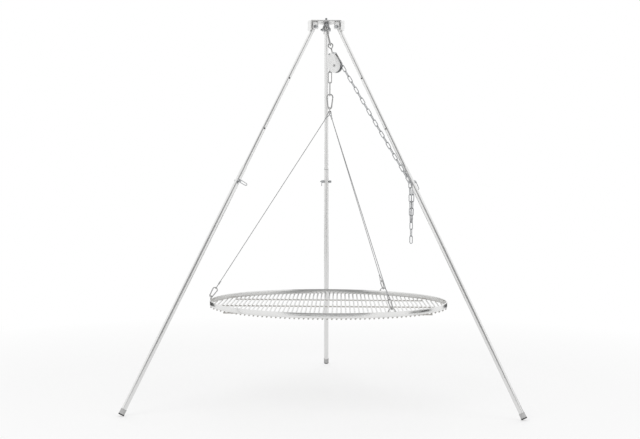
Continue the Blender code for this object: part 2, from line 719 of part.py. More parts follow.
# Sling ring, edge-on, hanging in the carabiner's narrow end
ring_wire = 0.0022
ring_r = 0.0106
ring_crown = big_top - 0.0660 + 2 * big_wire + GAP + ring_wire
SPIN = DROP + UP * ring_crown
sling_frame = basis(DROP + UP * ring_crown, Vector((0, 1, 0)), Vector((-1, 0, 0)), UP)
place("sling_ring", sweep(sling_frame, pear(2 * ring_r, ring_r, ring_r, 6), ring_wire, 8, True), "steel", SPIN)

# Three wire ropes with pressed ferrules and eyes, three snap hooks, three eyelets
rope_r = 0.0015
ring_centre = DROP + UP * (ring_crown - ring_r)
eyelet_wire = 0.00225
EYELET_RISE = 0.0135
hook_wire = 0.0025
for letter, azimuth, place_on_ring in (("a", 60.0, 34.0), ("b", 180.0, 0.0), ("c", 300.0, -34.0)):
    out = radial(azimuth)
    side = UP.cross(out)
    crest = DROP + out * (HOOP_R - HOOP_WALL / 2) + UP * (HOOP_TOP + 0.0003 + EYELET_RISE)
    turn = math.radians(place_on_ring)
    on_ring = ring_centre + Vector((0, math.sin(turn), -math.cos(turn))) * ring_r
    pull = (on_ring - crest).normalized()
    top = on_ring + pull * (ring_wire + rope_r + 1.5 * GAP)
    eyelet_frame = basis(crest - UP * EYELET_RISE, side, side.cross(UP) * -1, UP)
    eyelet_path = [
        (-0.0165, 0.0), (-0.0148, 0.0050), (-0.0090, 0.0108), (-0.0030, EYELET_RISE),
        (0.0030, EYELET_RISE), (0.0090, 0.0108), (0.0148, 0.0050), (0.0165, 0.0),
    ]
    eyelet = sweep(eyelet_frame, eyelet_path, eyelet_wire, 8, False)
    eyelet = cut(eyelet, box(eyelet_frame, (-0.03, -0.01, -0.01), (0.03, 0.01, 0.0)))
    place("eyelet_" + letter, eyelet, "steel", SPIN)
    # Snap hook: narrow end under the eyelet's crest, wide end in the rope's lower eye
    hook_low = crest - pull * (eyelet_wire + 2 * hook_wire + GAP)
    hook_frame = aimed(hook_low + pull * 0.050, pull, out * -1)
    gate_name = "snap_gate_" + letter
    GATE_PINS[gate_name] = carabiner("snap_hook_" + letter, gate_name, hook_frame, 0.050, hook_wire, 0.0100, 0.0062, SPIN)
    low_seat = hook_low + pull * (0.050 - 2 * hook_wire - GAP - rope_r)
    eye_long = 0.0300
    across_top = Vector((1, 0, 0)) - pull * pull.x
    top_eye = sweep(aimed(top, pull, across_top), pear(eye_long, 0.0052, 0.0019, 4), rope_r, 6, True)
    low_eye = sweep(aimed(low_seat, pull * -1, side), pear(eye_long, 0.0052, 0.0019, 4), rope_r, 6, True)
    line_top = top - pull * (eye_long - 0.004)
    line_low = low_seat + pull * (eye_long - 0.004)
    rope = cylinder(line_top, line_low, rope_r, 6)
    rope = union(
        rope,
        top_eye,
        low_eye,
        cylinder(top - pull * (eye_long - 0.0085), top - pull * (eye_long + 0.0085), 0.0036, 8),
        cylinder(low_seat + pull * (eye_long - 0.0085), low_seat + pull * (eye_long + 0.0085), 0.0036, 8),
    )
    place("wire_rope_" + letter, rope, "rope", SPIN)

# Grate: flat bar hoop, rods and cross bars welded below it
hoop_frame = Matrix.Translation(DROP)
hoop_low = HOOP_TOP - HOOP_HEIGHT
hoop_profile = [
    (HOOP_R - HOOP_WALL, hoop_low), (HOOP_R, hoop_low), (HOOP_R, HOOP_TOP), (HOOP_R - HOOP_WALL, HOOP_TOP),
]
place("hoop", lathe(hoop_frame, hoop_profile, 96), "steel", SPIN)
flat_r = ROD_R * math.cos(math.pi / 6)
rod_z = hoop_low - 0.0003 - flat_r
bar_z = rod_z - 2 * flat_r + 0.0004
reach = HOOP_R - 0.0015
rods = []
for k in range(ROD_COUNT):
    x = (k - (ROD_COUNT - 1) / 2) * ROD_PITCH
    half = math.sqrt(reach * reach - x * x)
    rods.append(cylinder((x, -half, rod_z), (x, half, rod_z), ROD_R, 6, x_hint=UP))
bars = []
for y in (-BAR_OFFSET, 0, BAR_OFFSET):
    half = math.sqrt(reach * reach - y * y)
    bars.append(cylinder((-half, y, bar_z), (half, y, bar_z), ROD_R, 6, x_hint=UP))
grate = union(gathered(bars), gathered(rods))
place("grate_rods", moved(grate, Matrix.Translation(DROP)), "steel", SPIN)

# Chain tail: two strands from the bolt's ends meet, and three more links hang below
BOLT = leg_point(AXIS_C, JOINT_S)
TAIL_TOP = BOLT + UP * (0.0029 + GAP + 0.00025)
TAIL_LINKS = 6
drop_len = math.sqrt((TAIL_LINKS * LINK_PITCH) ** 2 - TAIL_SIDE ** 2)
meet = TAIL_TOP - UP * drop_len
pieces = []
for sign, lean in ((-1, -0.0019), (1, 0.0019)):
    start = TAIL_TOP + SIDE_C * (sign * TAIL_SIDE)
    end = meet + AXIS_C * lean
    joints = [start.lerp(end, k / TAIL_LINKS) for k in range(TAIL_LINKS + 1)]
    pieces.append(strand(joints, alternating(joints, True)))
joints = [meet - UP * (LINK_PITCH * k) for k in range(4)]
pieces.append(strand(joints, alternating(joints, True)))
tail = union(pieces[0], pieces[2], pieces[1])
place("chain_tail", tail, "zinc", BOLT)
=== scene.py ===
import contextlib
import math

import bpy
from mathutils import Matrix, Vector


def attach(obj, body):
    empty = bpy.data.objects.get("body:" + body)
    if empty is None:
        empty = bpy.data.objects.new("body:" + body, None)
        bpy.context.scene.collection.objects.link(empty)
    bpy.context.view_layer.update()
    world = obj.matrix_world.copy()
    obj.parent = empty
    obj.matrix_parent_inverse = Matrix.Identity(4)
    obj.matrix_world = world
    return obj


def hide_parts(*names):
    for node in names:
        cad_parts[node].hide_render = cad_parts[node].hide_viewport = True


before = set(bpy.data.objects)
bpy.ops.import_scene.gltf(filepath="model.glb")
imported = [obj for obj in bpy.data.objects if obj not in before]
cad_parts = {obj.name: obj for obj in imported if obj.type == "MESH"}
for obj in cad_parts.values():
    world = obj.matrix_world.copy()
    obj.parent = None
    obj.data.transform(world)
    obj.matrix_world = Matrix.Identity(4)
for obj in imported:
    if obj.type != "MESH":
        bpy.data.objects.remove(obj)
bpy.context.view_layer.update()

# Camera and studio
# A pale floor that fades into a white surround, soft lamps from above and from both sides, and
# grey cards that only mirrored rays meet, which draw the dark cores along the bright metal.
AXIS_Y = -0.2000
AXIS = Vector((0, AXIS_Y, 0))
UP = Vector((0, 0, 1))
EAST = Vector((1, 0, 0))
NORTH = Vector((0, 1, 0))
PHOTO_WIDTH = 640
SENSOR_WIDTH = 36
FOCAL_PIXELS = 1142.8
CAMERA_PLACE = (0.0627, AXIS_Y - 4.839, 0.907)
CAMERA_TURNS = ((0.01727, "Z"), (math.pi / 2 - 0.03142, "X"), (0.00665, "Z"))
bpy.ops.object.select_all(action="DESELECT")
bpy.ops.object.camera_add(location=CAMERA_PLACE)
camera = bpy.context.object
aim = Matrix.Identity(3)
for angle, axis in CAMERA_TURNS:
    aim = aim @ Matrix.Rotation(angle, 3, axis)
camera.rotation_euler = aim.to_euler()
camera.data.sensor_width = SENSOR_WIDTH
camera.data.lens = FOCAL_PIXELS / PHOTO_WIDTH * SENSOR_WIDTH
bpy.context.scene.camera = camera
bpy.context.scene.view_settings.view_transform = "Standard"


class Term:
    """A number in a shader tree. Arithmetic on it adds Math nodes."""

    def __init__(self, tree, socket):
        self.tree = tree
        self.socket = socket

    def maths(self, operation, *values, clamp=False):
        node = self.tree.nodes.new("ShaderNodeMath")
        node.operation = operation
        node.use_clamp = clamp
        for socket, value in zip(node.inputs, values):
            if isinstance(value, Term):
                self.tree.links.new(value.socket, socket)
            else:
                socket.default_value = value
        return Term(self.tree, node.outputs[0])

    def __add__(self, other):
        return self.maths("ADD", self, other)

    def __radd__(self, other):
        return self.maths("ADD", other, self)

    def __sub__(self, other):
        return self.maths("SUBTRACT", self, other)

    def __rsub__(self, other):
        return self.maths("SUBTRACT", other, self)

    def __mul__(self, other):
        return self.maths("MULTIPLY", self, other)

    def __rmul__(self, other):
        return self.maths("MULTIPLY", other, self)

    def __truediv__(self, other):
        return self.maths("DIVIDE", self, other)

    def __pow__(self, other):
        return self.maths("POWER", self, other)

    def __abs__(self):
        return self.maths("ABSOLUTE", self)

    def clamped(self):
        return self.maths("ADD", self, 0.0, clamp=True)

    def below(self, edge, blur):
        """1 up to the edge, then down to 0 over the blur."""
        return ((edge + blur - self) / blur).clamped()

    def above(self, edge, blur):
        """0 up to the edge, then up to 1 over the blur."""
        return ((self - edge) / blur).clamped()


class Finish:
    """A material being built, with one method that adds any node but Math."""

    def __init__(self, name):
        self.material = bpy.data.materials.new(name)
        self.material.use_nodes = True
        self.tree = self.material.node_tree
        self.shader = self.tree.nodes["Principled BSDF"]

    def feed(self, socket, value):
        if isinstance(value, Term):
            self.tree.links.new(value.socket, socket)
        elif socket.type == "RGBA":
            socket.default_value = (*value, 1)
        else:
            socket.default_value = value

    def node(self, kind, settings=None, inputs=None, output=0):
        node = self.tree.nodes.new("ShaderNode" + kind)
        for key, value in (settings or {}).items():
            setattr(node, key, value)
        for key, value in (inputs or {}).items():
            self.feed(node.inputs[key], value)
        return Term(self.tree, node.outputs[output])

    def surface(self, **sockets):
        for key, value in sockets.items():
            self.feed(self.shader.inputs[key.replace("_", " ")], value)
        return self

    def bare_metal(self, mottle, dark, light, roughness, relief):
        """Metal mottled between two tones. Its relief is a height, a distance and a strength."""
        height, distance, strength = relief
        sockets = {"Height": height, "Distance": distance, "Strength": strength}
        return self.surface(
            Base_Color=self.mix(mottle, dark, light),
            Metallic=1.0,
            Roughness=roughness,
            Normal=self.node("Bump", inputs=sockets),
        )

    def place(self):
        return self.node("TexCoord", output="Object")

    def made(self):
        """The piece's own coordinates from before it was put in place, Z along its length."""
        return self.node("Attribute", {"attribute_name": "made"}, output="Vector")

    def split(self, vector):
        node = self.tree.nodes.new("ShaderNodeSeparateXYZ")
        self.feed(node.inputs[0], vector)
        return [Term(self.tree, socket) for socket in node.outputs]

    def vector(self, x, y, z):
        return self.node("CombineXYZ", inputs={0: x, 1: y, 2: z})

    def noise(self, vector, scale, detail=3.0, roughness=0.5):
        sockets = {"Vector": vector, "Scale": scale, "Detail": detail, "Roughness": roughness}
        return self.node("TexNoise", inputs=sockets)

    def specks(self, scale, detail=3.0, roughness=0.5):
        return self.noise(self.place(), scale, detail, roughness)

    def stretched(self, vector, scale):
        return self.node("VectorMath", {"operation": "MULTIPLY"}, {0: vector, 1: scale})

    def mix(self, factor, first, second):
        sockets = {0: factor, 6: first, 7: second}
        return self.node("Mix", {"data_type": "RGBA"}, sockets, output=2)


FLOOR_SIZE = 60
FADE_START = 1.3
FADE_END = 2.8
BACKLIGHT = 0.55
ground = Finish("studio floor")
east, north, _ = ground.split(ground.place())
away = (east * east + north * north) ** 0.5
fade = away.above(FADE_START, FADE_END - FADE_START)
to_camera = ground.node("LightPath", output="Is Camera Ray")
to_metal = ground.node("LightPath", output="Is Glossy Ray")
backlit = (to_camera + to_metal).clamped() * (fade * (1 - BACKLIGHT) + BACKLIGHT)
ground.surface(
    Base_Color=ground.mix(to_camera, (0.80, 0.80, 0.80), (0.98, 0.98, 0.98)),
    Roughness=0.9 + ground.specks(0.7, 2.0) * 0.02,
)
lit = Term(ground.tree, ground.shader.outputs[0])
glow = ground.node("Emission")
blend = ground.node("MixShader", inputs={0: backlit, 1: lit, 2: glow})
ground.feed(ground.tree.nodes["Material Output"].inputs["Surface"], blend)
bpy.ops.mesh.primitive_plane_add(size=FLOOR_SIZE)
floor = bpy.context.object
floor.name = "studio_floor"
floor.data.materials.append(ground.material)

# Each card's bearing from the front, distance, height, width, length, tilt and finish.
grey = Finish("grey card").surface(Base_Color=(0.58, 0.58, 0.58), Roughness=1.0)
black = Finish("black card").surface(Base_Color=(0.04, 0.04, 0.04), Roughness=1.0)
CARDS = (
    (0, 6.8, 4.00, 13.0, 8.0, 65, grey),
    (0, 4.3, 0.02, 5.0, 2.4, 0, black),
    (92, 3.0, 0.22, 1.5, 0.40, 90, black),
    (157, 3.0, 0.22, 2.2, 0.40, 90, black),
    (-145, 3.0, 0.22, 1.4, 0.40, 90, black),
)
for bearing, distance, height, width, length, tilt, card_finish in CARDS:
    bearing = math.radians(bearing)
    place = (distance * math.sin(bearing), AXIS_Y - distance * math.cos(bearing), height)
    turn = (math.radians(tilt), 0, bearing)
    bpy.ops.mesh.primitive_plane_add(size=1, location=place, rotation=turn)
    card = bpy.context.object
    card.scale = (width, length, 1)
    card.name = "shading_card"
    card.data.materials.append(card_finish.material)
    card.visible_camera = False
    card.visible_diffuse = False
    card.visible_shadow = False

SURROUND_LIGHT = 0.60
surround = bpy.data.worlds.new("surround")
bpy.context.scene.world = surround
surround.use_nodes = True
sky = surround.node_tree
light_path = sky.nodes.new("ShaderNodeLightPath")
seen = Term(sky, light_path.outputs["Is Camera Ray"])
mirrored = Term(sky, light_path.outputs["Is Glossy Ray"])
through = Term(sky, light_path.outputs["Is Transmission Ray"])
white = (seen + mirrored + through).clamped()
strength = white * (1 - SURROUND_LIGHT) + SURROUND_LIGHT
sky.links.new(strength.socket, sky.nodes["Background"].inputs["Strength"])
sky.nodes["Background"].inputs["Color"].default_value = (1, 1, 1, 1)

# Each lamp's place, turn in degrees, size and power.
LAMPS = (
    ((-2.5, -3.5, 4.5), (42, 0, -35), 3.0, 62),
    ((3.5, -2.0, 4.0), (48, 0, 55), 3.0, 36),
    ((0.0, 3.0, 5.0), (-35, 0, 0), 3.5, 60),
)
for place, turn, size, power in LAMPS:
    turn = [math.radians(t) for t in turn]
    bpy.ops.object.light_add(type="AREA", location=place, rotation=turn)
    lamp = bpy.context.object
    lamp.data.size = size
    lamp.data.energy = power
    lamp.visible_glossy = False

# Leg tubes
# Two drawn stainless tubes a leg, the narrow one sliding in the wide one, their ends sawn square
# and deburred. Spare holes for the lock bolt are drilled through the narrow tube.
PIVOT_R = 0.058
PIVOT_Z = 1.563
FOOT_R = 0.900
CAP_R = 0.0121
CAP_CHAMFER = 0.0010
UPPER_R = 0.0086
UPPER_WALL = 0.0015
UPPER_START = -0.012
UPPER_END = 0.800
LOWER_R = 0.01065
LOWER_WALL = 0.0016
LOWER_START = 0.670
CAP_FLOOR = 0.0045
JOINT_S = 0.735
SPARE_HOLES = (0.25, 0.49)
LOCK_HOLE = 0.0035
HINGE_HOLE = 0.0043
SMOOTH_ANGLE = math.radians(35)
IN_PLACE = Matrix.Identity(4)
foot_r = (CAP_R - CAP_CHAMFER) * math.cos(math.pi / 24)
lean = math.atan2(FOOT_R - PIVOT_R, PIVOT_Z)
for _ in range(6):
    foot_low = foot_r * math.sin(lean)
    lean = math.atan2(FOOT_R - PIVOT_R, PIVOT_Z - foot_low)
LEG_LENGTH = math.hypot(FOOT_R - PIVOT_R, PIVOT_Z - foot_low)


def compass(degrees):
    angle = math.radians(degrees)
    return Vector((math.cos(angle), math.sin(angle), 0))


def on_leg(out, s):
    """The point a distance s down the leg that stands outwards, from its hinge bolt."""
    reach = PIVOT_R + s * math.sin(lean)
    return AXIS + out * reach + UP * (PIVOT_Z - s * math.cos(lean))


def basis(origin, x_axis, y_axis, z_axis):
    matrix = Matrix((x_axis, y_axis, z_axis)).transposed().to_4x4()
    matrix.translation = origin
    return matrix


def aimed(origin, z_axis, x_hint):
    """A place with Z along z_axis and X as near to x_hint as it can be."""
    z_dir = Vector(z_axis).normalized()
    y_dir = z_dir.cross(Vector(x_hint)).normalized()
    return basis(Vector(origin), y_dir.cross(z_dir), y_dir, z_dir)


def only(piece):
    bpy.ops.object.select_all(action="DESELECT")
    piece.select_set(True)
    bpy.context.view_layer.objects.active = piece


def put(piece, place):
    """Put a place into the piece's mesh."""
    only(piece)
    piece.matrix_world = place
    bpy.ops.object.transform_apply()
    return piece


def started(kind, **settings):
    """A new primitive with its place in its mesh, and nothing else selected."""
    bpy.ops.object.select_all(action="DESELECT")
    getattr(bpy.ops.mesh, "primitive_" + kind + "_add")(**settings)
    bpy.ops.object.transform_apply()
    return bpy.context.object


@contextlib.contextmanager
def editing(piece, test=None):
    """Edit mode on the piece, with all its points picked, or only those that pass the test."""
    only(piece)
    bpy.ops.object.mode_set(mode="EDIT")
    bpy.ops.mesh.select_mode(type="VERT")
    bpy.ops.mesh.select_all(action="DESELECT" if test else "SELECT")
    if test:
        bpy.ops.object.mode_set(mode="OBJECT")
        for vertex in piece.data.vertices:
            vertex.select = test(vertex.co)
        bpy.ops.object.mode_set(mode="EDIT")
    yield
    bpy.ops.object.mode_set(mode="OBJECT")


def extruded(move):
    bpy.ops.mesh.extrude_region_move(TRANSFORM_OT_translate={"value": move})


def applied(piece, kind, **settings):
    """Give the piece a modifier and apply it at once."""
    only(piece)
    modifier = piece.modifiers.new(kind.lower(), kind)
    for key, value in settings.items():
        setattr(modifier, key, value)
    bpy.ops.object.modifier_apply(modifier=modifier.name)
    return piece


def shaped(piece, tool, operation="DIFFERENCE", place=IN_PLACE):
    """Cut with, join with or keep what lies in the tool, which is used up."""
    tool.matrix_world = place
    applied(piece, "BOOLEAN", operation=operation, solver="EXACT", object=tool)
    bpy.data.objects.remove(tool)
    return piece


def softened(piece, width, segments=2, angle=50):
    limit = math.radians(angle)
    return applied(
        piece, "BEVEL", width=width, segments=segments, limit_method="ANGLE", angle_limit=limit
    )


def turned(profile, sides=48, ring=False):
    """Turn a profile of (radius, height) points about Z. A ring's profile runs round its section."""
    radius, height = profile[0]
    fill = "NOTHING" if ring else "NGON"
    piece = started("circle", vertices=sides, radius=radius, location=(0, 0, height), fill_type=fill)
    with editing(piece):
        for wide, high in profile[1:]:
            extruded((0, 0, high - height))
            if wide != radius:
                grow = wide / radius
                bpy.ops.transform.resize(value=(grow, grow, 1), center_override=(0, 0, high))
            radius, height = wide, high
        if ring:
            bpy.ops.mesh.select_all(action="DESELECT")
            bpy.ops.mesh.select_non_manifold()
            bpy.ops.mesh.bridge_edge_loops()
        bpy.ops.mesh.select_all(action="SELECT")
        bpy.ops.mesh.normals_make_consistent(inside=False)
    return piece


def bar(radius, low, high, sides=32):
    return turned([(radius, low), (radius, high)], sides)


def drilled(piece, radius, place=IN_PLACE, sides=32):
    """Drill right through the piece along the Z of a place."""
    return shaped(piece, bar(radius, -0.03, 0.03, sides), place=place)


def remembered(piece):
    """Store the piece's own coordinates on it, for its surface to use once it is in place."""
    made = piece.data.attributes.new("made", "FLOAT_VECTOR", "POINT")
    for vertex, entry in zip(piece.data.vertices, made.data):
        entry.vector = vertex.co
    return piece


def copied(piece, place):
    twin = piece.copy()
    twin.data = piece.data.copy()
    bpy.context.scene.collection.objects.link(twin)
    twin.matrix_world = place
    return twin


def discard(*pieces):
    for piece in pieces:
        bpy.data.objects.remove(piece)


def joined(pieces):
    only(pieces[0])
    for piece in pieces:
        piece.select_set(True)
    bpy.ops.object.transform_apply()
    bpy.ops.object.join()
    return bpy.context.object


def settled(piece, place, name, finish, body, slot, *nodes):
    """Put the place into the piece's mesh, and hang it on its body in the place of its nodes."""
    put(piece, place)
    bpy.ops.object.shade_smooth_by_angle(angle=SMOOTH_ANGLE)
    piece.name = name
    piece.data.name = name
    piece.data.materials.clear()
    piece.data.materials.append(finish.material)
    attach(piece, body)
    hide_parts(*nodes)


def hung(model, place, prefix, node, finish, body, slot):
    """Settle a copy of the model, named after the node that it stands for."""
    settled(copied(model, place), place, prefix + node, finish, body, slot, node)


def tube_finish(name, tint):
    metal = Finish(name)
    made = metal.made()
    streak = metal.noise(metal.stretched(made, (1400, 1400, 9)), 1.0, 3.0, 0.6)
    cloud = metal.noise(made, 16)
    touch = metal.specks(55, 5.0, 0.65)
    return metal.bare_metal(
        streak * 0.5 + cloud * 0.5, [c * 0.93 for c in tint], tint,
        roughness=0.17 + streak * 0.05 + touch * 0.06, relief=(streak, 0.00002, 0.2),
    )


def leg_tube(outer, wall, start, end, holes):
    profile = [(outer, start), (outer, end), (outer - wall, end), (outer - wall, start)]
    piece = turned(profile, 48, ring=True)
    across = Matrix.Rotation(math.pi / 2, 4, "Y")
    for height, radius in holes:
        drilled(piece, radius, Matrix.Translation((0, 0, height)) @ across, 24)
    return remembered(softened(piece, 0.0003))


LEGS = []
for letter, azimuth in (("a", 90.0), ("b", 210.0), ("c", 330.0)):
    out = compass(azimuth)
    LEGS.append((letter, out, UP.cross(out), (on_leg(out, 1) - on_leg(out, 0)).normalized()))
upper_metal = tube_finish("drawn stainless tube", (0.86, 0.86, 0.855))
lower_metal = tube_finish("drawn stainless sleeve tube", (0.84, 0.84, 0.835))
upper_holes = [(0.0, HINGE_HOLE)] + [(s, LOCK_HOLE) for s in (*SPARE_HOLES, JOINT_S)]
upper_tube = leg_tube(UPPER_R, UPPER_WALL, UPPER_START, UPPER_END, upper_holes)
lower_end = LEG_LENGTH - CAP_FLOOR
lower_tube = leg_tube(LOWER_R, LOWER_WALL, LOWER_START, lower_end, [(JOINT_S, LOCK_HOLE)])
for letter, out, side, down in LEGS:
    place = aimed(on_leg(out, 0), down, side)
    for kind, model, finish in (("upper", upper_tube, upper_metal), ("lower", lower_tube, lower_metal)):
        name = "leg_tube_" + kind + "_" + letter
        node = kind + "_tube_" + letter
        settled(copied(model, place), place, name, finish, "leg_" + letter, "steel", node)
discard(upper_tube, lower_tube)

# Foot caps
# Pale grey caps pressed over the tube ends, moulded with a grip rib, a lip and a dark rubber
# sole, and standing on the lower edge of that sole.
SOLE = 0.0050
rubber = Finish("moulded cap and sole")
pores = rubber.specks(900, 4.0, 0.6)
dust = rubber.specks(70, 4.0)
dark_sole = rubber.split(rubber.made())[2].above(LEG_LENGTH - SOLE, 0.0003)
upper_colour = rubber.mix(dust, (0.50, 0.50, 0.50), (0.60, 0.60, 0.595))
sole_colour = rubber.mix(dust.above(0.55, 0.2), (0.050, 0.050, 0.052), (0.110, 0.108, 0.105))
rubber.surface(
    Base_Color=rubber.mix(dark_sole, upper_colour, sole_colour),
    Roughness=0.55 + pores * 0.30,
    Normal=rubber.node("Bump", inputs={"Height": pores, "Distance": 0.00015, "Strength": 0.5}),
)
cap_r = foot_r + CAP_CHAMFER
inner_r = LOWER_R + 0.0003
cap_profile = (
    (inner_r, 0.0245), (cap_r - 0.0002, 0.0245), (cap_r, 0.0242), (cap_r, 0.0222),
    (cap_r - 0.0005, 0.0217), (cap_r - 0.0005, 0.0085), (cap_r, 0.0075), (cap_r, 0.0011),
    (cap_r - 0.0003, 0.0004), (foot_r, 0), (0.0040, 0), (0.0036, 0.0006), (0.0004, 0.0006),
    (0.0004, 0.0036), (LOWER_R - 0.0004, 0.0036), (inner_r, 0.0042),
)
cap = remembered(turned([(r, LEG_LENGTH - rise) for r, rise in cap_profile], 48, ring=True))
for letter, out, side, down in LEGS:
    place = aimed(on_leg(out, 0), down, side)
    hung(cap, place, "rubber_", "foot_cap_" + letter, rubber, "leg_" + letter, "rubber")
discard(cap)

# Head plate
# Laser-cut stainless sheet, 4 mm thick, three corners cut off square and folded down over the
# tops of the legs as stops, with one hole in the middle for the eye bolt.
PLATE_TOP = 1.589
PLATE_THICK = 0.004
CORNER_R = 0.0814
FLANGE_HALF = 0.0125
FLANGE_DROP = 1.546 - PLATE_TOP
FLANGE_FOLD = 0.0045
FLANGE_ROUND = 0.0030
EYE_HOLE = 0.0053
sheet = Finish("brushed stainless sheet")
grain = sheet.noise(sheet.stretched(sheet.place(), (90, 2600, 2600)), 1.0, 3.0, 0.6)
blotch = sheet.specks(60, 4.0, 0.6)
sheet.bare_metal(
    grain * 0.6 + blotch * 0.4, (0.84, 0.84, 0.835), (0.93, 0.93, 0.925),
    roughness=0.28 + grain * 0.08 + blotch * 0.10, relief=(grain, 0.00003, 0.3),
)
plate_r = CORNER_R + 2 * FLANGE_HALF * math.sin(math.radians(60))
plate = started("circle", vertices=3, radius=plate_r, fill_type="NGON")
with editing(plate):
    bpy.ops.mesh.bevel(affect="VERTICES", offset=2 * FLANGE_HALF, segments=1)


def plate_corners(low, high):
    """Each cut corner in turn, in edit mode, its points between two heights picked."""
    for letter, out, side, down in LEGS:
        with editing(plate, lambda co: co.dot(out) > CORNER_R - 0.0005 and low < co.z < high):
            yield


for _ in plate_corners(-0.001, 0.001):
    extruded((0, 0, FLANGE_DROP))
for _ in plate_corners(-0.001, 0.001):
    bpy.ops.mesh.bevel(affect="EDGES", offset=FLANGE_FOLD, segments=5)
for _ in plate_corners(FLANGE_DROP - 0.001, FLANGE_DROP + 0.0005):
    bpy.ops.mesh.bevel(affect="VERTICES", offset=FLANGE_ROUND, segments=4)
applied(plate, "SOLIDIFY", thickness=PLATE_THICK, offset=-1, use_even_offset=True)
drilled(plate, EYE_HOLE)
softened(plate, 0.0004)
place = Matrix.Translation(AXIS + UP * PLATE_TOP)
settled(plate, place, "folded_head_plate", sheet, "head", "steel", "head_plate")

# Hinge brackets
# A short length of sheet folded to an upside-down U for each leg and welded under the plate,
# its two cheeks rounded at the bottom and drilled together for the hinge bolt.
BRACKET_LONG = 0.026
BRACKET_WIDE = 0.025
BRACKET_TOP = 0.0217
BRACKET_LOW = -0.0105
BRACKET_THICK = 0.0030
BRACKET_FOLD = 0.0036
BRACKET_ROUND = 0.0070
bracket = started("plane", size=1, location=(0, 0, BRACKET_TOP))
put(bracket, Matrix.Diagonal((BRACKET_LONG, BRACKET_WIDE, 1, 1)))


def bracket_folds():
    """The bracket's two long edges in turn, picked in edit mode."""
    for sign in (-1, 1):
        with editing(bracket, lambda co: co.y * sign > 0.012 and co.z > BRACKET_TOP - 0.001):
            yield


for _ in bracket_folds():
    extruded((0, 0, BRACKET_LOW - BRACKET_TOP))
for _ in bracket_folds():
    bpy.ops.mesh.bevel(affect="EDGES", offset=BRACKET_FOLD, segments=4)
with editing(bracket, lambda co: co.z < BRACKET_LOW + 0.0005):
    bpy.ops.mesh.bevel(affect="VERTICES", offset=BRACKET_ROUND, segments=6)
applied(bracket, "SOLIDIFY", thickness=BRACKET_THICK, offset=-1, use_even_offset=True)
drilled(bracket, HINGE_HOLE, Matrix.Rotation(math.pi / 2, 4, "X"))
softened(bracket, 0.0003)
for letter, out, side, down in LEGS:
    place = basis(on_leg(out, 0), out, side, UP)
    hung(bracket, place, "folded_", "hinge_bracket_" + letter, sheet, "head", "steel")
discard(bracket)

# Hinge bolts and nuts
# Zinc-plated M8 bolts, one through each bracket and leg, with chamfered heads and cut threads,
# the nuts run up to the bracket's cheek with some thread left over.
CHEEK_SIDE = 0.0129
M8_R = 0.0038
M8_FLATS = 0.013
THREAD_SIDES = 24
zinc = Finish("bright zinc plate")
bloom = zinc.specks(160, 5.0, 0.65)
patch = zinc.specks(35)
zinc.bare_metal(
    bloom * 0.5 + patch * 0.5, (0.37, 0.38, 0.39), (0.62, 0.63, 0.64),
    roughness=0.22 + bloom * 0.22, relief=(bloom, 0.00005, 0.4),
)


def hexed(flats, start, end, crown=True):
    """A six-sided head or nut on Z, its corners turned off at the foot and, if asked, the crown."""
    corner = flats / math.sqrt(3)
    narrow = corner - (corner - flats / 2) * 1.15
    fall = (corner - narrow) * 0.5
    wide = corner + 0.00001
    profile = [(narrow, start - 0.00001), (wide, start + fall)]
    profile += [(wide, end - fall), (narrow, end + 0.00001)] if crown else [(wide, end + 0.00001)]
    return shaped(bar(corner, start, end, 6), turned(profile, 48), "INTERSECT")


def threaded(radius, pitch, start, end):
    """A threaded length of bar on Z: one groove, screwed up the bar, its upper end chamfered."""
    depth = pitch * 0.55
    piece = started("plane", size=0.0001, location=(radius - depth, 0, start - pitch * 2))
    with editing(piece):
        bpy.ops.mesh.merge(type="CENTER")
        for _ in range(math.ceil((end - start) / pitch) + 3):
            for outwards, upwards in ((depth, 0.43), (0, 0.10), (-depth, 0.43), (0, 0.04)):
                extruded((outwards, 0, upwards * pitch))
    applied(
        piece, "SCREW", axis="Z", angle=2 * math.pi, screw_offset=pitch, iterations=1,
        steps=THREAD_SIDES, render_steps=THREAD_SIDES, use_merge_vertices=False,
    )
    with editing(piece):
        bpy.ops.mesh.remove_doubles(threshold=0.00001)
        bpy.ops.mesh.fill_holes(sides=0)
        bpy.ops.mesh.select_all(action="SELECT")
        bpy.ops.mesh.normals_make_consistent(inside=False)
    chamfer = pitch * 0.7
    profile = [(radius * 1.02, start), (radius * 1.02, end - chamfer), (radius - chamfer, end)]
    return shaped(piece, turned(profile, THREAD_SIDES * 2), "INTERSECT")


def bolt(radius, flats, head_low, head_high, plain_to, end, pitch):
    """Head, plain shank and thread in one."""
    thread = threaded(radius, pitch, plain_to - 0.0002, end)
    head = hexed(flats, head_low, head_high, crown=False)
    shank = bar(radius * 0.98, head_high - 0.0005, plain_to)
    return shaped(shaped(head, shank, "UNION"), thread, "UNION")


def nut(flats, start, end, bore):
    return shaped(hexed(flats, start, end), bar(bore, start - 0.01, end + 0.01))


hinge_bolt = bolt(
    radius=M8_R, flats=M8_FLATS, head_low=-CHEEK_SIDE - 0.0053, head_high=-CHEEK_SIDE,
    plain_to=0.0105, end=0.0250, pitch=0.00125,
)
hinge_nut = nut(M8_FLATS, CHEEK_SIDE, CHEEK_SIDE + 0.0065, 0.0039)
for letter, out, side, down in LEGS:
    place = aimed(on_leg(out, 0), side, out)
    hung(hinge_bolt, place, "m8_", "hinge_bolt_" + letter, zinc, "head", "zinc")
    hung(hinge_nut, place, "m8_", "hinge_nut_" + letter, zinc, "head", "zinc")
discard(hinge_bolt, hinge_nut)

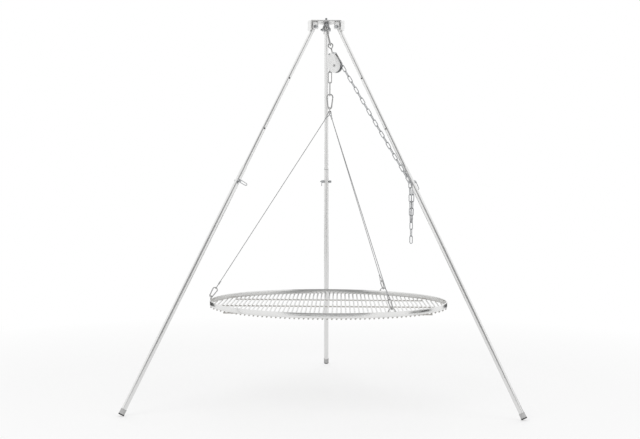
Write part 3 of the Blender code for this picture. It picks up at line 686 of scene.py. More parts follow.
# Eye bolt and its nut
# A forged eye with an M10 shank up through the middle of the plate, a collar where the ring
# meets the shank, and a nut under the plate. The thread stands out on top.
EYE_Z = 1.562
EYE_RING_R = 0.0115
EYE_WIRE = 0.004
EYE_TOP = 1.604
eye = started(
    "torus", major_radius=EYE_RING_R, minor_radius=EYE_WIRE, major_segments=64, minor_segments=20,
    rotation=(math.pi / 2, 0, 0),
)
collar = (
    (0.0034, -0.0015), (0.0052, 0.0012), (0.0060, 0.0030), (0.0060, 0.0042), (0.0048, 0.0046),
    (0.0048, 0.0085),
)
shaped(eye, turned([(r, EYE_RING_R + rise) for r, rise in collar], 32), "UNION")
shaped(eye, threaded(0.0049, 0.0015, 0.0195, EYE_TOP - EYE_Z), "UNION")
place = Matrix.Translation(AXIS + UP * EYE_Z)
settled(eye, place, "forged_eye_bolt", zinc, "head", "zinc", "eye_bolt")
nut_top = PLATE_TOP - PLATE_THICK - 0.0004
eye_nut = nut(0.017, nut_top - 0.0058, nut_top, 0.0050)
settled(eye_nut, Matrix.Translation(AXIS), "m10_eye_nut", zinc, "head", "zinc", "eye_nut")

# Joint bolts and bow nuts
# A zinc-plated M6 bolt through both tubes of each leg locks the sleeve, with two spacer rings
# under its head, and a nut with a wire bow welded to it is turned on by hand. Leg C's bolt is
# longer and has no rings, and the chain hooks on its ends.
M6_R = 0.0029
M6_FLATS = 0.010
SHORT_NUT_AT = 0.0113
LONG_NUT_AT = 0.0180


def bent(wire, start, heading, moves, sides=20, loop=False):
    """Round wire bent in the X-Z plane, by runs, left turns of a radius and degrees, and beads."""
    point = Vector((start[0], 0, start[1]))
    angle = math.radians(heading)
    ahead = Vector((math.cos(angle), 0, math.sin(angle)))
    piece = started("circle", vertices=sides, radius=wire, fill_type="NOTHING")
    put(piece, basis(point, ahead.cross(NORTH), NORTH * -1, ahead))
    with editing(piece):
        for kind, amount, *more in moves:
            if kind == "turn":
                degrees = more[0]
                centre = point + Vector((-ahead.z, 0, ahead.x)) * amount
                bpy.ops.mesh.spin(
                    steps=max(2, round(abs(degrees) / 12)), angle=math.radians(degrees),
                    center=centre, axis=(0, 1, 0), dupli=False,
                )
                spun = Matrix.Rotation(math.radians(degrees), 3, NORTH * -1)
                point = centre + spun @ (point - centre)
                ahead = spun @ ahead
            elif kind == "run":
                extruded(ahead * amount)
                point = point + ahead * amount
            else:
                swell = more[0]
                neck = 1 + (swell - 1) * 0.2
                for grow in (swell, neck, 1 / neck, 1 / swell):
                    extruded(ahead * amount / 4)
                    point = point + ahead * amount / 4
                    bpy.ops.transform.resize(value=(grow, grow, grow), center_override=point)
        bpy.ops.mesh.select_all(action="SELECT")
        if loop:
            bpy.ops.mesh.remove_doubles(threshold=wire * 0.02)
        else:
            bpy.ops.mesh.fill_holes(sides=0)
        bpy.ops.mesh.normals_make_consistent(inside=False)
    return piece


def arcs(length, top_r, low_r):
    """How far a wide and a narrow arc lean to each other, and how long the wire between them is."""
    fall = length - top_r - low_r
    if fall <= 0:
        return 0.0, 0.0
    return math.asin((top_r - low_r) / fall), math.sqrt(fall * fall - (top_r - low_r) ** 2)


def oval(wire, length, top_r, low_r, bead=0.0, sides=20):
    """A closed loop of wire hanging from z = 0, of a wide and a narrow arc, welded on one side."""
    slant, side_run = arcs(length, top_r, low_r)
    start = (top_r * math.cos(slant), -top_r - top_r * math.sin(slant))
    tilt = math.degrees(slant)
    half = (side_run - bead) / 2
    weld_side = [("run", half), ("bead", bead, 1.12), ("run", half)] if bead else [("run", side_run)]
    moves = [("turn", top_r, 180 + 2 * tilt), ("run", side_run), ("turn", low_r, 180 - 2 * tilt)]
    moves = [move for move in moves + weld_side if move[1] > 0]
    return bent(wire, start, 90 - tilt, moves, sides, loop=True)


def joint_bolt(head_at, nut_at):
    return bolt(
        radius=M6_R, flats=M6_FLATS, head_low=head_at - 0.0045, head_high=head_at,
        plain_to=nut_at - 0.003, end=nut_at + 0.0165, pitch=0.001,
    )


short_bolt = joint_bolt(-0.0185, SHORT_NUT_AT)
long_bolt = joint_bolt(-0.0230, LONG_NUT_AT)
rings = (
    (0.0054, -0.0187), (0.0058, -0.0181), (0.0058, -0.01526), (0.0050, -0.0149), (0.0058, -0.01454),
    (0.0058, -0.0117), (0.0054, -0.0113),
)
shaped(short_bolt, turned(rings, 32), "UNION")
bow_nut = hexed(0.0125, 0, 0.012)
bow = oval(0.0016, 0.040, top_r=0.0052, low_r=0.0045, bead=0.004)
shaped(bow_nut, bow, "UNION", basis(Vector((-0.0045, 0, 0.0095)), NORTH, UP, EAST * -1))
drilled(bow_nut, 0.0031)
for letter, out, side, down in LEGS:
    joint = on_leg(out, JOINT_S)
    model, nut_at, pointing = short_bolt, SHORT_NUT_AT, out * -math.cos(lean) - UP * math.sin(lean)
    if letter == "c":
        model, nut_at, pointing = long_bolt, LONG_NUT_AT, down
    place = aimed(joint, side, out)
    hung(model, place, "m6_", "joint_bolt_" + letter, zinc, "leg_" + letter, "zinc")
    place = basis(joint + side * nut_at, pointing, side.cross(pointing), side)
    hung(bow_nut, place, "m6_", "bow_nut_" + letter, zinc, "bow_" + letter, "zinc")
discard(short_bolt, long_bolt, bow_nut)

# Top carabiner
# A snap hook of 8 mm round bar through the eye: one bent body with a forked foot and a nose
# with a key, and a slotted gate on a riveted pin, held shut by a spring inside it.
wire_steel = Finish("polished wire steel")
polish = wire_steel.specks(220, 4.0, 0.6)
haze = wire_steel.specks(40)
wire_steel.bare_metal(
    polish * 0.4 + haze * 0.6, (0.42, 0.42, 0.42), (0.64, 0.64, 0.635),
    roughness=0.14 + polish * 0.16 + haze * 0.06, relief=(polish, 0.00004, 0.3),
)
GAP = 0.0004
AXLE_R = 0.0465
AXLE_Z = 1.4014
TOP_WIRE = 0.004
TOP_LONG = 0.080
AXIS_C = compass(330)
SIDE_C = UP.cross(AXIS_C)
AXLE = AXIS + AXIS_C * AXLE_R + UP * AXLE_Z
eye_centre = AXIS + UP * EYE_Z
pull = AXLE - eye_centre
SEAT = eye_centre + Vector((pull.x, 0, pull.z)).normalized() * (EYE_RING_R - EYE_WIRE)
LINE = (SEAT - AXLE).normalized()
TOWARDS_Y = (NORTH - LINE * LINE.y).normalized()
TOWARDS_X = TOWARDS_Y.cross(LINE)


def block(place, low, high):
    low, high = Vector(low), Vector(high)
    sized = Matrix.Translation((low + high) / 2) @ Matrix.Diagonal((*(high - low), 1))
    return put(started("cube", size=1), place @ sized)


def rivet(radius, reach, head):
    """A pin on Z with a domed head at each end."""
    dome = head * 0.55
    low = [(head * s, -reach - dome * c) for s, c in ((0.35, 0.95), (0.7, 0.72), (0.93, 0.36), (1, 0))]
    high = [(r, -z) for r, z in reversed(low)]
    return turned(low + [(radius, -reach + 0.00001), (radius, reach - 0.00001)] + high, 24)


def carabiner(length, wire, top_r, low_r):
    """Body and gate in a frame whose origin is the outer top of the wide end, hanging down -Z."""
    slant, side_run = arcs(length - 2 * wire, top_r, low_r)
    tilt = math.degrees(slant)
    along = Vector((math.sin(slant), 0, math.cos(slant)))
    top_start = Vector((top_r * math.cos(slant), 0, -wire - top_r - top_r * math.sin(slant)))
    hinge = top_start - along * (side_run - wire * 2.0)
    nose = top_start - along * (wire * 1.1)
    foot = hinge - along * (wire * 0.8)
    gate_run = (nose - hinge).length + wire * (0.8 - 0.25)
    moves = [
        ("run", wire * 1.1), ("turn", top_r, 180 + 2 * tilt), ("run", side_run),
        ("turn", low_r, 180 - 2 * tilt), ("run", wire * 2.8),
    ]
    body = bent(wire, (nose.x, nose.z), 90 - tilt, moves, 24)
    softened(body, wire * 0.22, 3, 60)
    gate = bent(wire * 0.97, (foot.x, foot.z), 90 - tilt, [("run", gate_run + wire)], 24)
    softened(gate, wire * 0.25, 3, 60)

    # Blocks are sized in wire radii from the hinge, the nose and the gate's tip.
    at_hinge = aimed(hinge, along, EAST)
    slope = Matrix.Rotation(math.radians(38), 4, "Y")
    in_wires = Matrix.Scale(wire, 4)
    at_nose = aimed(nose, along, EAST) @ in_wires
    at_tip = aimed(foot + along * gate_run, along, EAST) @ in_wires
    half = 0.36
    fork = half + 0.0003 / wire
    for near, far in ((-2, -half), (half, 2)):
        shaped(body, block(at_hinge @ in_wires, (-1.6, near, -1.45), (1.6, far, 3)))
    shaped(body, block(at_nose @ slope, (-3, -2, -2), (3, 2, 0.12)))
    key = block(at_nose, (-0.15, -0.20, -1.25), (0.45, 0.20, 0.8))
    softened(key, wire * 0.08, 2, 60)
    shaped(body, key, "UNION")
    pin_place = at_hinge @ Matrix.Rotation(math.pi / 2, 4, "X")
    drilled(body, wire * 0.30 + 0.0002, pin_place, 24)
    shaped(gate, block(at_tip @ slope, (-3, -2, -0.05), (3, 2, 4)))
    shaped(gate, block(at_tip, (-0.35, -0.34, -1.35), (2, 0.34, 2)))
    shaped(gate, block(at_hinge @ in_wires, (-2, -fork, -2), (2, fork, 1.55)))
    shaped(gate, rivet(wire * 0.30, wire * 0.97, wire * 0.46), "UNION", pin_place)
    return body, gate


def snapped(pair, place, name, gate_name, body, gate_body):
    hung(pair[0], place, "bent_", name, wire_steel, body, "steel")
    hung(pair[1], place, "sprung_", gate_name, wire_steel, gate_body, "steel")


top_pair = carabiner(TOP_LONG, TOP_WIRE, top_r=0.0135, low_r=0.0085)
place = aimed(SEAT + LINE * (2 * TOP_WIRE + 2 * GAP), LINE, TOWARDS_Y)
snapped(top_pair, place, "top_carabiner", "top_gate", "pulley", "upper_gate")
discard(*top_pair)

# Pulley swivel
# A pear-shaped ring of 5 mm steel wire hooked in the carabiner's narrow end, forged on to a
# round stem with two collars, which turns in the bridge of the pulley.
SWIVEL_WIRE = 0.0025
ring_top = (SEAT - AXLE).length + 4 * TOP_WIRE + 3 * GAP - TOP_LONG + SWIVEL_WIRE
swivel = oval(SWIVEL_WIRE, 0.0235, top_r=0.0098, low_r=0.0035)
stem = (
    (0.0046, 0.0430 - ring_top), (0.0052, 0.0436 - ring_top), (0.0052, 0.0470 - ring_top),
    (0.0048, 0.0476 - ring_top), (0.0031, 0.0477 - ring_top), (0.0031, -0.0262),
    (0.0040, -0.0252), (0.0040, -0.0236), (0.0024, -0.0222),
)
shaped(swivel, turned(stem, 32), "UNION")
place = aimed(AXLE + LINE * ring_top, LINE, TOWARDS_X)
settled(swivel, place, "forged_pulley_swivel", wire_steel, "pulley", "steel", "pulley_swivel")

# Pulley cheeks
# Two pressed steel side plates, round about the axle and narrowing to the bridge, with
# rolled edges and holes for the axle and the two bridge rivets.
CHEEK_IN = 0.0095
CHEEK_OUT = 0.0120
CHEEK_R = 0.0295
EAR_R = 0.0045
AXLE_HOLE = 0.0041
RIVET_HOLE = 0.0022
across = LINE.cross(SIDE_C)
plane = basis(AXLE, -across, LINE, LINE.cross(across))
rivet_places = [Matrix.Translation((x, 0.0530, 0)) for x in (-0.0095, 0.0095)]
cheek = bar(CHEEK_R, CHEEK_IN, CHEEK_OUT, 64)
ear = bar(EAR_R, CHEEK_IN, CHEEK_OUT, 64)
cheek = joined([cheek] + [copied(ear, place) for place in rivet_places])
discard(ear)
with editing(cheek):
    bpy.ops.mesh.convex_hull()
    bpy.ops.mesh.dissolve_limited(angle_limit=math.radians(0.3))
softened(cheek, 0.0009, 3)
drilled(cheek, AXLE_HOLE)
for place in rivet_places:
    drilled(cheek, RIVET_HOLE, place, 24)
half_turn = Matrix.Rotation(math.pi, 4, "Y")
for node, place in (("pulley_cheek_front", plane), ("pulley_cheek_back", plane @ half_turn)):
    hung(cheek, place, "pressed_", node, sheet, "pulley", "steel")
discard(cheek)

# Pulley bridge and axle
# A drilled steel block between the cheeks, held by two rivets, which carries the swivel, and
# the axle the wheel turns on, both with domed heads outside the cheeks.
inside = CHEEK_IN - 0.0002
bridge = block(IN_PLACE, (-0.0125, 0.0480, -inside), (0.0125, 0.0565, inside))
softened(bridge, 0.0008, 3)
stem_hole = Matrix.Translation((0, 0.0500, 0)) @ Matrix.Rotation(-math.pi / 2, 4, "X")
drilled(bridge, 0.0036, stem_hole)
for place in rivet_places:
    shaped(bridge, rivet(0.0021, CHEEK_OUT + 0.0002, 0.0038), "UNION", place)
settled(bridge, plane, "riveted_pulley_bridge", zinc, "pulley", "steel", "pulley_bridge")
axle = rivet(0.0040, CHEEK_OUT + 0.0002, 0.0062)
settled(axle, plane, "riveted_pulley_axle", wire_steel, "pulley", "zinc", "pulley_axle")

# Pulley wheel
# Cast and turned, with two rims and a stepped groove: chain links lie flat on the shoulders,
# and every other link stands in the slot between them.
half_profile = [
    (0.0046, 0.0086), (0.0052, 0.0090), (0.0090, 0.0090), (0.0094, 0.0086), (0.0180, 0.0080),
    (0.0240, 0.0084), (0.0250, 0.0090), (0.0280, 0.0090), (0.0285, 0.0087), (0.0285, 0.0085),
    (0.0210, 0.0080), (0.0202, 0.0078), (0.0198, 0.0070), (0.0198, 0.0028), (0.0195, 0.0025),
    (0.0146, 0.0023), (0.0142, 0.0019),
]
wheel = turned(half_profile + [(r, -z) for r, z in reversed(half_profile)], 96, ring=True)
place = aimed(AXLE, SIDE_C, AXIS_C)
settled(wheel, place, "grooved_pulley_wheel", zinc, "wheel", "zinc", "pulley_wheel")

# Chain
# Zinc-plated welded chain of 3.5 mm wire: up from leg C's bolt, over the wheel and down to the
# long links, and a spare tail whose two strands hang from the bolt's ends and meet.
LINK_PITCH = 0.028
LINK_WIRE = 0.00175
LINK_ARC = 0.00575
CHAIN_R = 0.0265
RUN_LINKS = 21
WRAP_LINKS = 4
STRAND_LINKS = 6
END_LINKS = 3
RUN_OUT = 0.0200
STRAND_OUT = 0.0146
MEET_OUT = 0.0019
LINK_PLAY = 0.0020
TAIL_PLAY = 0.0005
ON_BOLT = M6_R + GAP + 0.00025
hook = on_leg(AXIS_C, JOINT_S) - SIDE_C * RUN_OUT
offset = Vector(((hook - AXIS).dot(AXIS_C) - AXLE_R, hook.z - AXLE_Z))
run_angle = math.atan2(offset.y, offset.x) + math.acos(CHAIN_R / offset.length)


def on_wheel(angle):
    return AXLE + AXIS_C * (CHAIN_R * math.cos(angle)) + UP * (CHAIN_R * math.sin(angle))


leave = on_wheel(run_angle)
run_up = (leave - hook).normalized()
arc = (math.pi - run_angle) * CHAIN_R


def chain_path(s):
    """The point a distance s up the chain from the bolt."""
    run = (leave - hook).length
    if s <= run:
        return hook + run_up * s
    if s <= run + arc:
        return on_wheel(run_angle + (s - run) / CHAIN_R)
    return on_wheel(math.pi) - UP * (s - run - arc)


def next_joint(s):
    """How far up the chain the link that starts at s ends."""
    low, high = s, s + LINK_PITCH * 1.6
    for _ in range(60):
        middle = (low + high) / 2
        if (chain_path(middle) - chain_path(s)).length < LINK_PITCH:
            low = middle
        else:
            high = middle
    return (low + high) / 2


def stepped(start, count):
    stations = [start]
    for _ in range(count):
        stations.append(next_joint(stations[-1]))
    return stations


crown = LINK_PITCH / 2 + LINK_WIRE - 0.0001
link = oval(LINK_WIRE, 2 * crown, LINK_ARC, LINK_ARC, bead=0.0045, sides=14)
put(link, Matrix.Translation(UP * crown))


def strung(joints, sideways, last=None):
    """One link between every two joints, every other one with its flat side to the side."""
    links = []
    for start, end in zip(joints, joints[1:]):
        ahead = (end - start).normalized()
        normal = SIDE_C if (len(links) % 2 == 0) == sideways else ahead.cross(SIDE_C)
        if last and len(links) == len(joints) - 2:
            normal = last
        flat = (normal - ahead * normal.dot(ahead)).normalized()
        links.append(copied(link, basis((start + end) / 2, flat.cross(ahead), flat, ahead)))
    return links


stations = stepped(-ON_BOLT, RUN_LINKS)
run = joined(strung([chain_path(s) for s in stations], True))
settled(run, IN_PLACE, "welded_chain_run", zinc, "chain", "zinc", "chain_run")
joints = [chain_path(s) for s in stepped(stations[-1] - LINK_PLAY, WRAP_LINKS)]
drop_top = joints[-1].z
wrap = joined(strung(joints, False, compass(30)))
settled(wrap, IN_PLACE, "welded_chain_wrap", zinc, "pulley", "zinc", "chain_wrap")
tail_top = on_leg(AXIS_C, JOINT_S) + UP * ON_BOLT - AXIS_C * TAIL_PLAY
meet = tail_top - UP * math.sqrt((STRAND_LINKS * LINK_PITCH) ** 2 - STRAND_OUT ** 2)
links = []
for sign in (-1, 1):
    start = tail_top + SIDE_C * (sign * STRAND_OUT)
    end = meet + AXIS_C * (sign * MEET_OUT)
    links += strung([start.lerp(end, k / STRAND_LINKS) for k in range(STRAND_LINKS + 1)], True)
links += strung([meet - UP * (LINK_PITCH * k) for k in range(END_LINKS + 1)], True)
settled(joined(links), IN_PLACE, "welded_chain_tail", zinc, "tail", "zinc", "chain_tail")
discard(link)

# Drop links
# Two long welded steel links carry on from the chain's inner end down to the lower carabiner,
# the upper one of 4 mm wire facing the front, the lower one of 5 mm turned edge on.
DROP = AXIS + AXIS_C * (AXLE_R - CHAIN_R)
UPPER_WIRE = 0.0020
UPPER_LONG = 0.0530
LOWER_WIRE = 0.0025
LOWER_LONG = 0.0625


def edge_on(height):
    return basis(DROP + UP * height, NORTH, EAST * -1, UP)


upper_crown = drop_top + 0.00025 + 1.5 * GAP + UPPER_WIRE
lower_crown = upper_crown - UPPER_LONG + 3 * UPPER_WIRE + LOWER_WIRE + GAP
lower_seat = lower_crown - LOWER_LONG + 3 * LOWER_WIRE + GAP
piece = oval(UPPER_WIRE, UPPER_LONG - 2 * UPPER_WIRE, top_r=0.0068, low_r=0.0068, bead=0.005)
place = Matrix.Translation(DROP + UP * upper_crown)
settled(piece, place, "long_drop_link_upper", wire_steel, "drop", "steel", "drop_link_upper")
piece = oval(LOWER_WIRE, LOWER_LONG - 2 * LOWER_WIRE, top_r=0.0070, low_r=0.0070, bead=0.006)
place = edge_on(lower_crown)
settled(piece, place, "long_drop_link_lower", wire_steel, "drop", "steel", "drop_link_lower")

# Lower carabiner and sling ring
# A smaller snap hook of 6 mm bar in the last long link, and in its narrow end a closed round
# ring that gathers the three ropes.
BIG_WIRE = 0.0030
BIG_LONG = 0.0660
RING_WIRE = 0.0022
RING_R = 0.0106
big_top = lower_seat + 2 * BIG_WIRE
big_pair = carabiner(BIG_LONG, BIG_WIRE, top_r=0.0125, low_r=0.0075)
place = Matrix.Translation(DROP + UP * big_top)
snapped(big_pair, place, "big_carabiner", "big_gate", "lower_hook", "lower_gate")
discard(*big_pair)
ring_crown = big_top - BIG_LONG + 2 * BIG_WIRE + GAP + RING_WIRE
piece = oval(RING_WIRE, 2 * RING_R, RING_R, RING_R, sides=24)
place = edge_on(ring_crown)
settled(piece, place, "closed_sling_ring", wire_steel, "grate", "steel", "sling_ring")

# Eyelets
# Three arches of 4.5 mm steel wire that the snap hooks hang in. They stand on the hoop's upper
# edge, with a bead of weld round each foot.
HOOP_R = 0.500
HOOP_WALL = 0.004
HOOP_TOP = 0.4147
HOOP_HEIGHT = 0.0205
EYELET_RISE = 0.0135
EYELET_HALF = 0.0165
EYELET_WIRE = 0.00225
weld = Finish("weld and heat tint")
spatter = weld.specks(700, 5.0, 0.7)
straw = weld.specks(130)
weld.bare_metal(
    straw, (0.44, 0.43, 0.415), (0.68, 0.67, 0.65),
    roughness=0.34 + spatter * 0.30, relief=(spatter, 0.0002, 0.6),
)


def over_hoop(out, rise):
    """A point over the middle of the hoop's edge, on the eyelets' welds or a rise above."""
    return DROP + out * (HOOP_R - HOOP_WALL / 2) + UP * (HOOP_TOP + 0.0003 + rise)


arch_r = (EYELET_HALF ** 2 + EYELET_RISE ** 2) / (2 * EYELET_RISE)
arch_half = math.degrees(math.asin(EYELET_HALF / arch_r))
arch_turn = ("turn", arch_r, 2 * arch_half)
arch = softened(bent(EYELET_WIRE, (EYELET_HALF, 0), 180 - arch_half, [arch_turn]), 0.0004, 2, 60)
bead_profile = (
    (0.0009, -0.0009), (0.0026, -0.0007), (0.0034, 0.0000), (0.0036, 0.0006), (0.0032, 0.0014),
    (0.0026, 0.0022), (0.0010, 0.0026),
)
bead = put(turned(bead_profile, 20), Matrix.Diagonal((1.15, 0.62, 1, 1)))
ROPES = []
for letter, azimuth, ring_angle in (("a", 60.0, 34.0), ("b", 180.0, 0.0), ("c", 300.0, -34.0)):
    ROPES.append((letter, compass(azimuth), math.radians(ring_angle)))
for letter, out, _ in ROPES:
    stand = basis(over_hoop(out, 0), UP.cross(out), out * -1, UP)
    node = "eyelet_" + letter
    hung(arch, stand, "arched_", node, wire_steel, "grate", "steel")
    beads = [copied(bead, stand @ Matrix.Translation((x, 0, 0))) for x in (-0.0162, 0.0162)]
    settled(joined(beads), IN_PLACE, "weld_of_" + node, weld, "grate", "steel")
discard(arch, bead)

# Snap hooks
# Three small steel snap hooks of 5 mm bar, narrow end under the eyelet, wide end in the rope's
# eye. Each hangs across the hoop, with its gate inward.
HOOK_WIRE = 0.0025
HOOK_LONG = 0.050
ROPE_R = 0.0015
ring_centre = DROP + UP * (ring_crown - RING_R)
hook_pair = carabiner(HOOK_LONG, HOOK_WIRE, top_r=0.0100, low_r=0.0062)
seats = {}
for letter, out, turn in ROPES:
    crest = over_hoop(out, EYELET_RISE)
    on_ring = ring_centre + Vector((0, math.sin(turn), -math.cos(turn))) * RING_R
    pull = (on_ring - crest).normalized()
    hook_low = crest - pull * (EYELET_WIRE + 2 * HOOK_WIRE + GAP)
    place = aimed(hook_low + pull * HOOK_LONG, pull, out * -1)
    gate = "snap_gate_" + letter
    snapped(hook_pair, place, "snap_hook_" + letter, gate, "grate", "hook_gate_" + letter)
    top_seat = on_ring + pull * (RING_WIRE + ROPE_R + 1.5 * GAP)
    low_seat = hook_low + pull * (HOOK_LONG - 2 * HOOK_WIRE - GAP - ROPE_R)
    seats[letter] = (pull, top_seat, low_seat)
discard(*hook_pair)

# Wire ropes
# Six-strand 3 mm steel rope, each end bent round to an eye and both parts pressed together in
# a ferrule. Each is laid along its whole real route from end to end, and the strands are true
# helices.
EYE_LONG = 0.0300
TURNS_PER_METRE = 46
STEPS_PER_TURN = 14
CORE_LENGTHS = 200
strand_metal = Finish("stranded steel wire")
wires = strand_metal.stretched(strand_metal.made(), (3800, 3800, 900))
wires = strand_metal.noise(wires, 1.0, 2.0, 0.5)
grime = strand_metal.specks(60, 4.0)
strand_metal.bare_metal(
    wires * 0.6 + grime * 0.4, (0.30, 0.305, 0.31), (0.62, 0.625, 0.63),
    roughness=0.30 + wires * 0.20, relief=(wires, 0.00012, 0.6),
)
pressed = Finish("pressed ferrule")
dull = pressed.specks(240, 4.0, 0.6)
pressed.bare_metal(
    dull, (0.48, 0.485, 0.49), (0.68, 0.685, 0.69),
    roughness=0.34 + dull * 0.22, relief=(dull, 0.0001, 0.5),
)
ferrule_half = [
    (0.0021, 0.0087), (0.0028, 0.0085), (0.0033, 0.0078), (0.0035, 0.0068), (0.0035, 0.0030),
    (0.0033, 0.0026),
]
ferrule = turned([(r, -z) for r, z in ferrule_half] + ferrule_half[::-1], 32)


def eye_route():
    """Half a rope's eye and its ferrule in the X-Z plane, from the cut end up, round and down."""
    top_r, low_r = 0.0052, 0.0019
    beside = low_r * 0.9
    slant = math.asin((top_r - low_r) / (EYE_LONG - low_r - top_r))
    points = [(beside, -EYE_LONG - 0.0080), (beside, -EYE_LONG - 0.0010)]
    for k in range(25):
        angle = -slant + (math.pi + 2 * slant) * k / 24
        points.append((top_r * math.cos(angle), -top_r + top_r * math.sin(angle)))
    points += [(-beside, -EYE_LONG - 0.0010), (-beside, -EYE_LONG - 0.0040)]
    for k in range(1, 7):
        share = k / 6
        ease = share * share * (3 - 2 * share)
        points.append((-beside * (1 - ease), -EYE_LONG - 0.0040 - 0.0110 * share))
    return [Vector((x, 0, z)) for x, z in points]


def stranded(route):
    """Six twisted strands and their core, screwed up straight and then laid along the route."""
    length = sum((b - a).length for a, b in zip(route, route[1:]))
    turns = round(length * TURNS_PER_METRE)
    strands = []
    for k in range(6):
        strand = started("circle", vertices=7, radius=ROPE_R / 3, fill_type="NOTHING")
        turn = Matrix.Rotation(math.radians(60 * k), 4, "Z")
        strand.matrix_world = turn @ Matrix.Translation((ROPE_R * 2 / 3, 0, 0))
        strands.append(strand)
    rope = joined(strands)
    applied(
        rope, "SCREW", axis="Z", angle=2 * math.pi, screw_offset=length / turns, iterations=turns,
        steps=STEPS_PER_TURN, render_steps=STEPS_PER_TURN, use_merge_vertices=False,
    )
    with editing(rope):
        bpy.ops.mesh.fill_holes(sides=0)
        bpy.ops.mesh.normals_make_consistent(inside=False)
    core = bar(ROPE_R * 0.45, 0.0, length, 8)
    with editing(core):
        for k in range(1, CORE_LENGTHS):
            bpy.ops.mesh.bisect(plane_co=(0, 0, length * k / CORE_LENGTHS), plane_no=(0, 0, 1))
            bpy.ops.mesh.select_all(action="SELECT")
    rope = remembered(joined([rope, core]))
    put(rope, Matrix.Rotation(math.pi / 2, 4, "Y"))
    curve = bpy.data.curves.new("rope_route", "CURVE")
    curve.dimensions = "3D"
    curve.twist_mode = "MINIMUM"
    line = curve.splines.new("POLY")
    line.points.add(len(route) - 1)
    for point, place in zip(line.points, route):
        point.co = (*place, 1)
    guide = bpy.data.objects.new("rope_route", curve)
    bpy.context.scene.collection.objects.link(guide)
    applied(rope, "CURVE", object=guide, deform_axis="POS_X")
    discard(guide)
    return rope


for letter, out, _ in ROPES:
    pull, top_seat, low_seat = seats[letter]
    top_eye = aimed(top_seat, pull, EAST - pull * pull.x)
    low_eye = aimed(low_seat, pull * -1, UP.cross(out))
    route = [top_eye @ p for p in eye_route()] + [low_eye @ p for p in reversed(eye_route())]
    node = "wire_rope_" + letter
    settled(stranded(route), IN_PLACE, "stranded_" + node, strand_metal, "grate", "rope", node)
    neck = Matrix.Translation((0, 0, -EYE_LONG))
    ferrules = joined([copied(ferrule, top_eye @ neck), copied(ferrule, low_eye @ neck)])
    settled(ferrules, IN_PLACE, "ferrules_of_" + node, pressed, "grate", "rope")
discard(ferrule)

# Hoop
# Flat stainless bar, 20 by 4 mm, rolled on edge to a ring a metre across and butt-welded, with
# its long edges broken. It is brushed along its length.
hoop_metal = Finish("brushed flat bar")
x, y, z = hoop_metal.split(hoop_metal.made())
bearing = hoop_metal.node("Math", {"operation": "ARCTAN2"}, {0: y, 1: x})
unrolled = hoop_metal.vector(bearing * 4.0, z * 2400, (x * x + y * y) ** 0.5 * 2400)
brush = hoop_metal.noise(unrolled, 1.0, 3.0, 0.6)
roll = hoop_metal.noise(hoop_metal.vector(bearing * 14, z * 30, 0.0), 1.0)
hoop_metal.bare_metal(
    brush * 0.5 + roll * 0.5, (0.72, 0.72, 0.715), (0.88, 0.88, 0.87),
    roughness=0.13 + brush * 0.08 + roll * 0.05, relief=(brush, 0.00006, 0.4),
)
outer = HOOP_R - 0.00001
inner = outer - HOOP_WALL
section = [(inner, -HOOP_HEIGHT), (outer, -HOOP_HEIGHT), (outer, 0), (inner, 0)]
hoop = remembered(softened(turned(section, 384, ring=True), 0.0006, 3))
place = Matrix.Translation(DROP + UP * HOOP_TOP)
settled(hoop, place, "rolled_hoop", hoop_metal, "grate", "steel", "hoop")

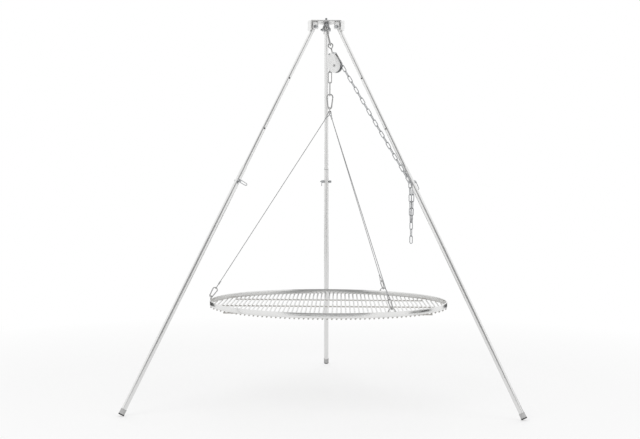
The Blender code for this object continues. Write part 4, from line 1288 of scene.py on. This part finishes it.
# Grate rods and cross bars
# Fifty-five 6 mm rods welded side by side under the hoop, and three bars across under them,
# with a small weld at every crossing and straw-coloured heat tint about each weld.
ROD_R = 0.003
ROD_PITCH = 0.018
ROD_COUNT = 55
ROD_SHORT = 0.0015
BAR_OFFSET = 0.27
rod_metal = Finish("drawn stainless rod")
x, y, z = rod_metal.split(rod_metal.made())
drawn = rod_metal.noise(rod_metal.vector(x * 1800, y * 12, z * 1800), 1.0, 3.0, 0.6)
smoke = rod_metal.noise(rod_metal.made(), 9, 4.0)
by_middle = abs(y).below(0.004, 0.010)
by_sides = abs(abs(y) - BAR_OFFSET).below(0.004, 0.010)
by_hoop = ((x * x + y * y) ** 0.5).above(0.484, 0.010)
near_weld = (by_middle + by_sides + by_hoop).clamped()
tint = near_weld * (0.35 + 0.5 * rod_metal.noise(rod_metal.made(), 90))
untinted = rod_metal.mix(drawn * 0.5 + smoke * 0.5, (0.68, 0.68, 0.675), (0.86, 0.86, 0.85))
rod_metal.bare_metal(
    tint, untinted, (0.47, 0.44, 0.40),
    roughness=0.20 + drawn * 0.12 + tint * 0.15, relief=(drawn, 0.00005, 0.4),
)
BARS_Y = (-BAR_OFFSET, 0, BAR_OFFSET)
RODS_X = [(k - (ROD_COUNT - 1) / 2) * ROD_PITCH for k in range(ROD_COUNT)]
flat_r = ROD_R * math.cos(math.pi / 6)
rod_z = HOOP_TOP - HOOP_HEIGHT - 0.0003 - flat_r
bar_drop = -2 * flat_r + 0.0004


def half_chord(offset):
    return math.sqrt((HOOP_R - ROD_SHORT) ** 2 - offset * offset)


rod = turned([(ROD_R * 0.85, -1.0), (ROD_R, -0.9990), (ROD_R, 0.9990), (ROD_R * 0.85, 1.0)], 14)
rods = [copied(rod, basis((x, 0, 0), EAST, UP * -1, NORTH * half_chord(x))) for x in RODS_X]
bars = [copied(rod, basis((0, y, bar_drop), NORTH, UP, EAST * half_chord(y))) for y in BARS_Y]
discard(rod)
place = Matrix.Translation(DROP + UP * rod_z)
grate = remembered(joined(rods))
settled(grate, place, "welded_grate_rods", rod_metal, "grate", "steel", "grate_rods")
crossbars = remembered(joined(bars))
settled(crossbars, place, "welded_cross_bars", rod_metal, "grate", "steel")
dab = turned([(0.0006, -0.0015), (0.0018, -0.0010), (0.0021, 0.0), (0.0018, 0.0010), (0.0006, 0.0015)], 8)
spots = []
for x in RODS_X:
    half = half_chord(x)
    spots += [(x + 0.0026, sign * (half - 0.0005), flat_r - 0.0006) for sign in (-1, 1)]
    spots += [(x + 0.0024, y, bar_drop / 2) for y in BARS_Y if abs(y) < half - 0.01]
dabs = joined([copied(dab, Matrix.Translation(spot)) for spot in spots])
settled(dabs, place, "weld_dabs_of_grate", weld, "grate", "steel")
discard(dab)
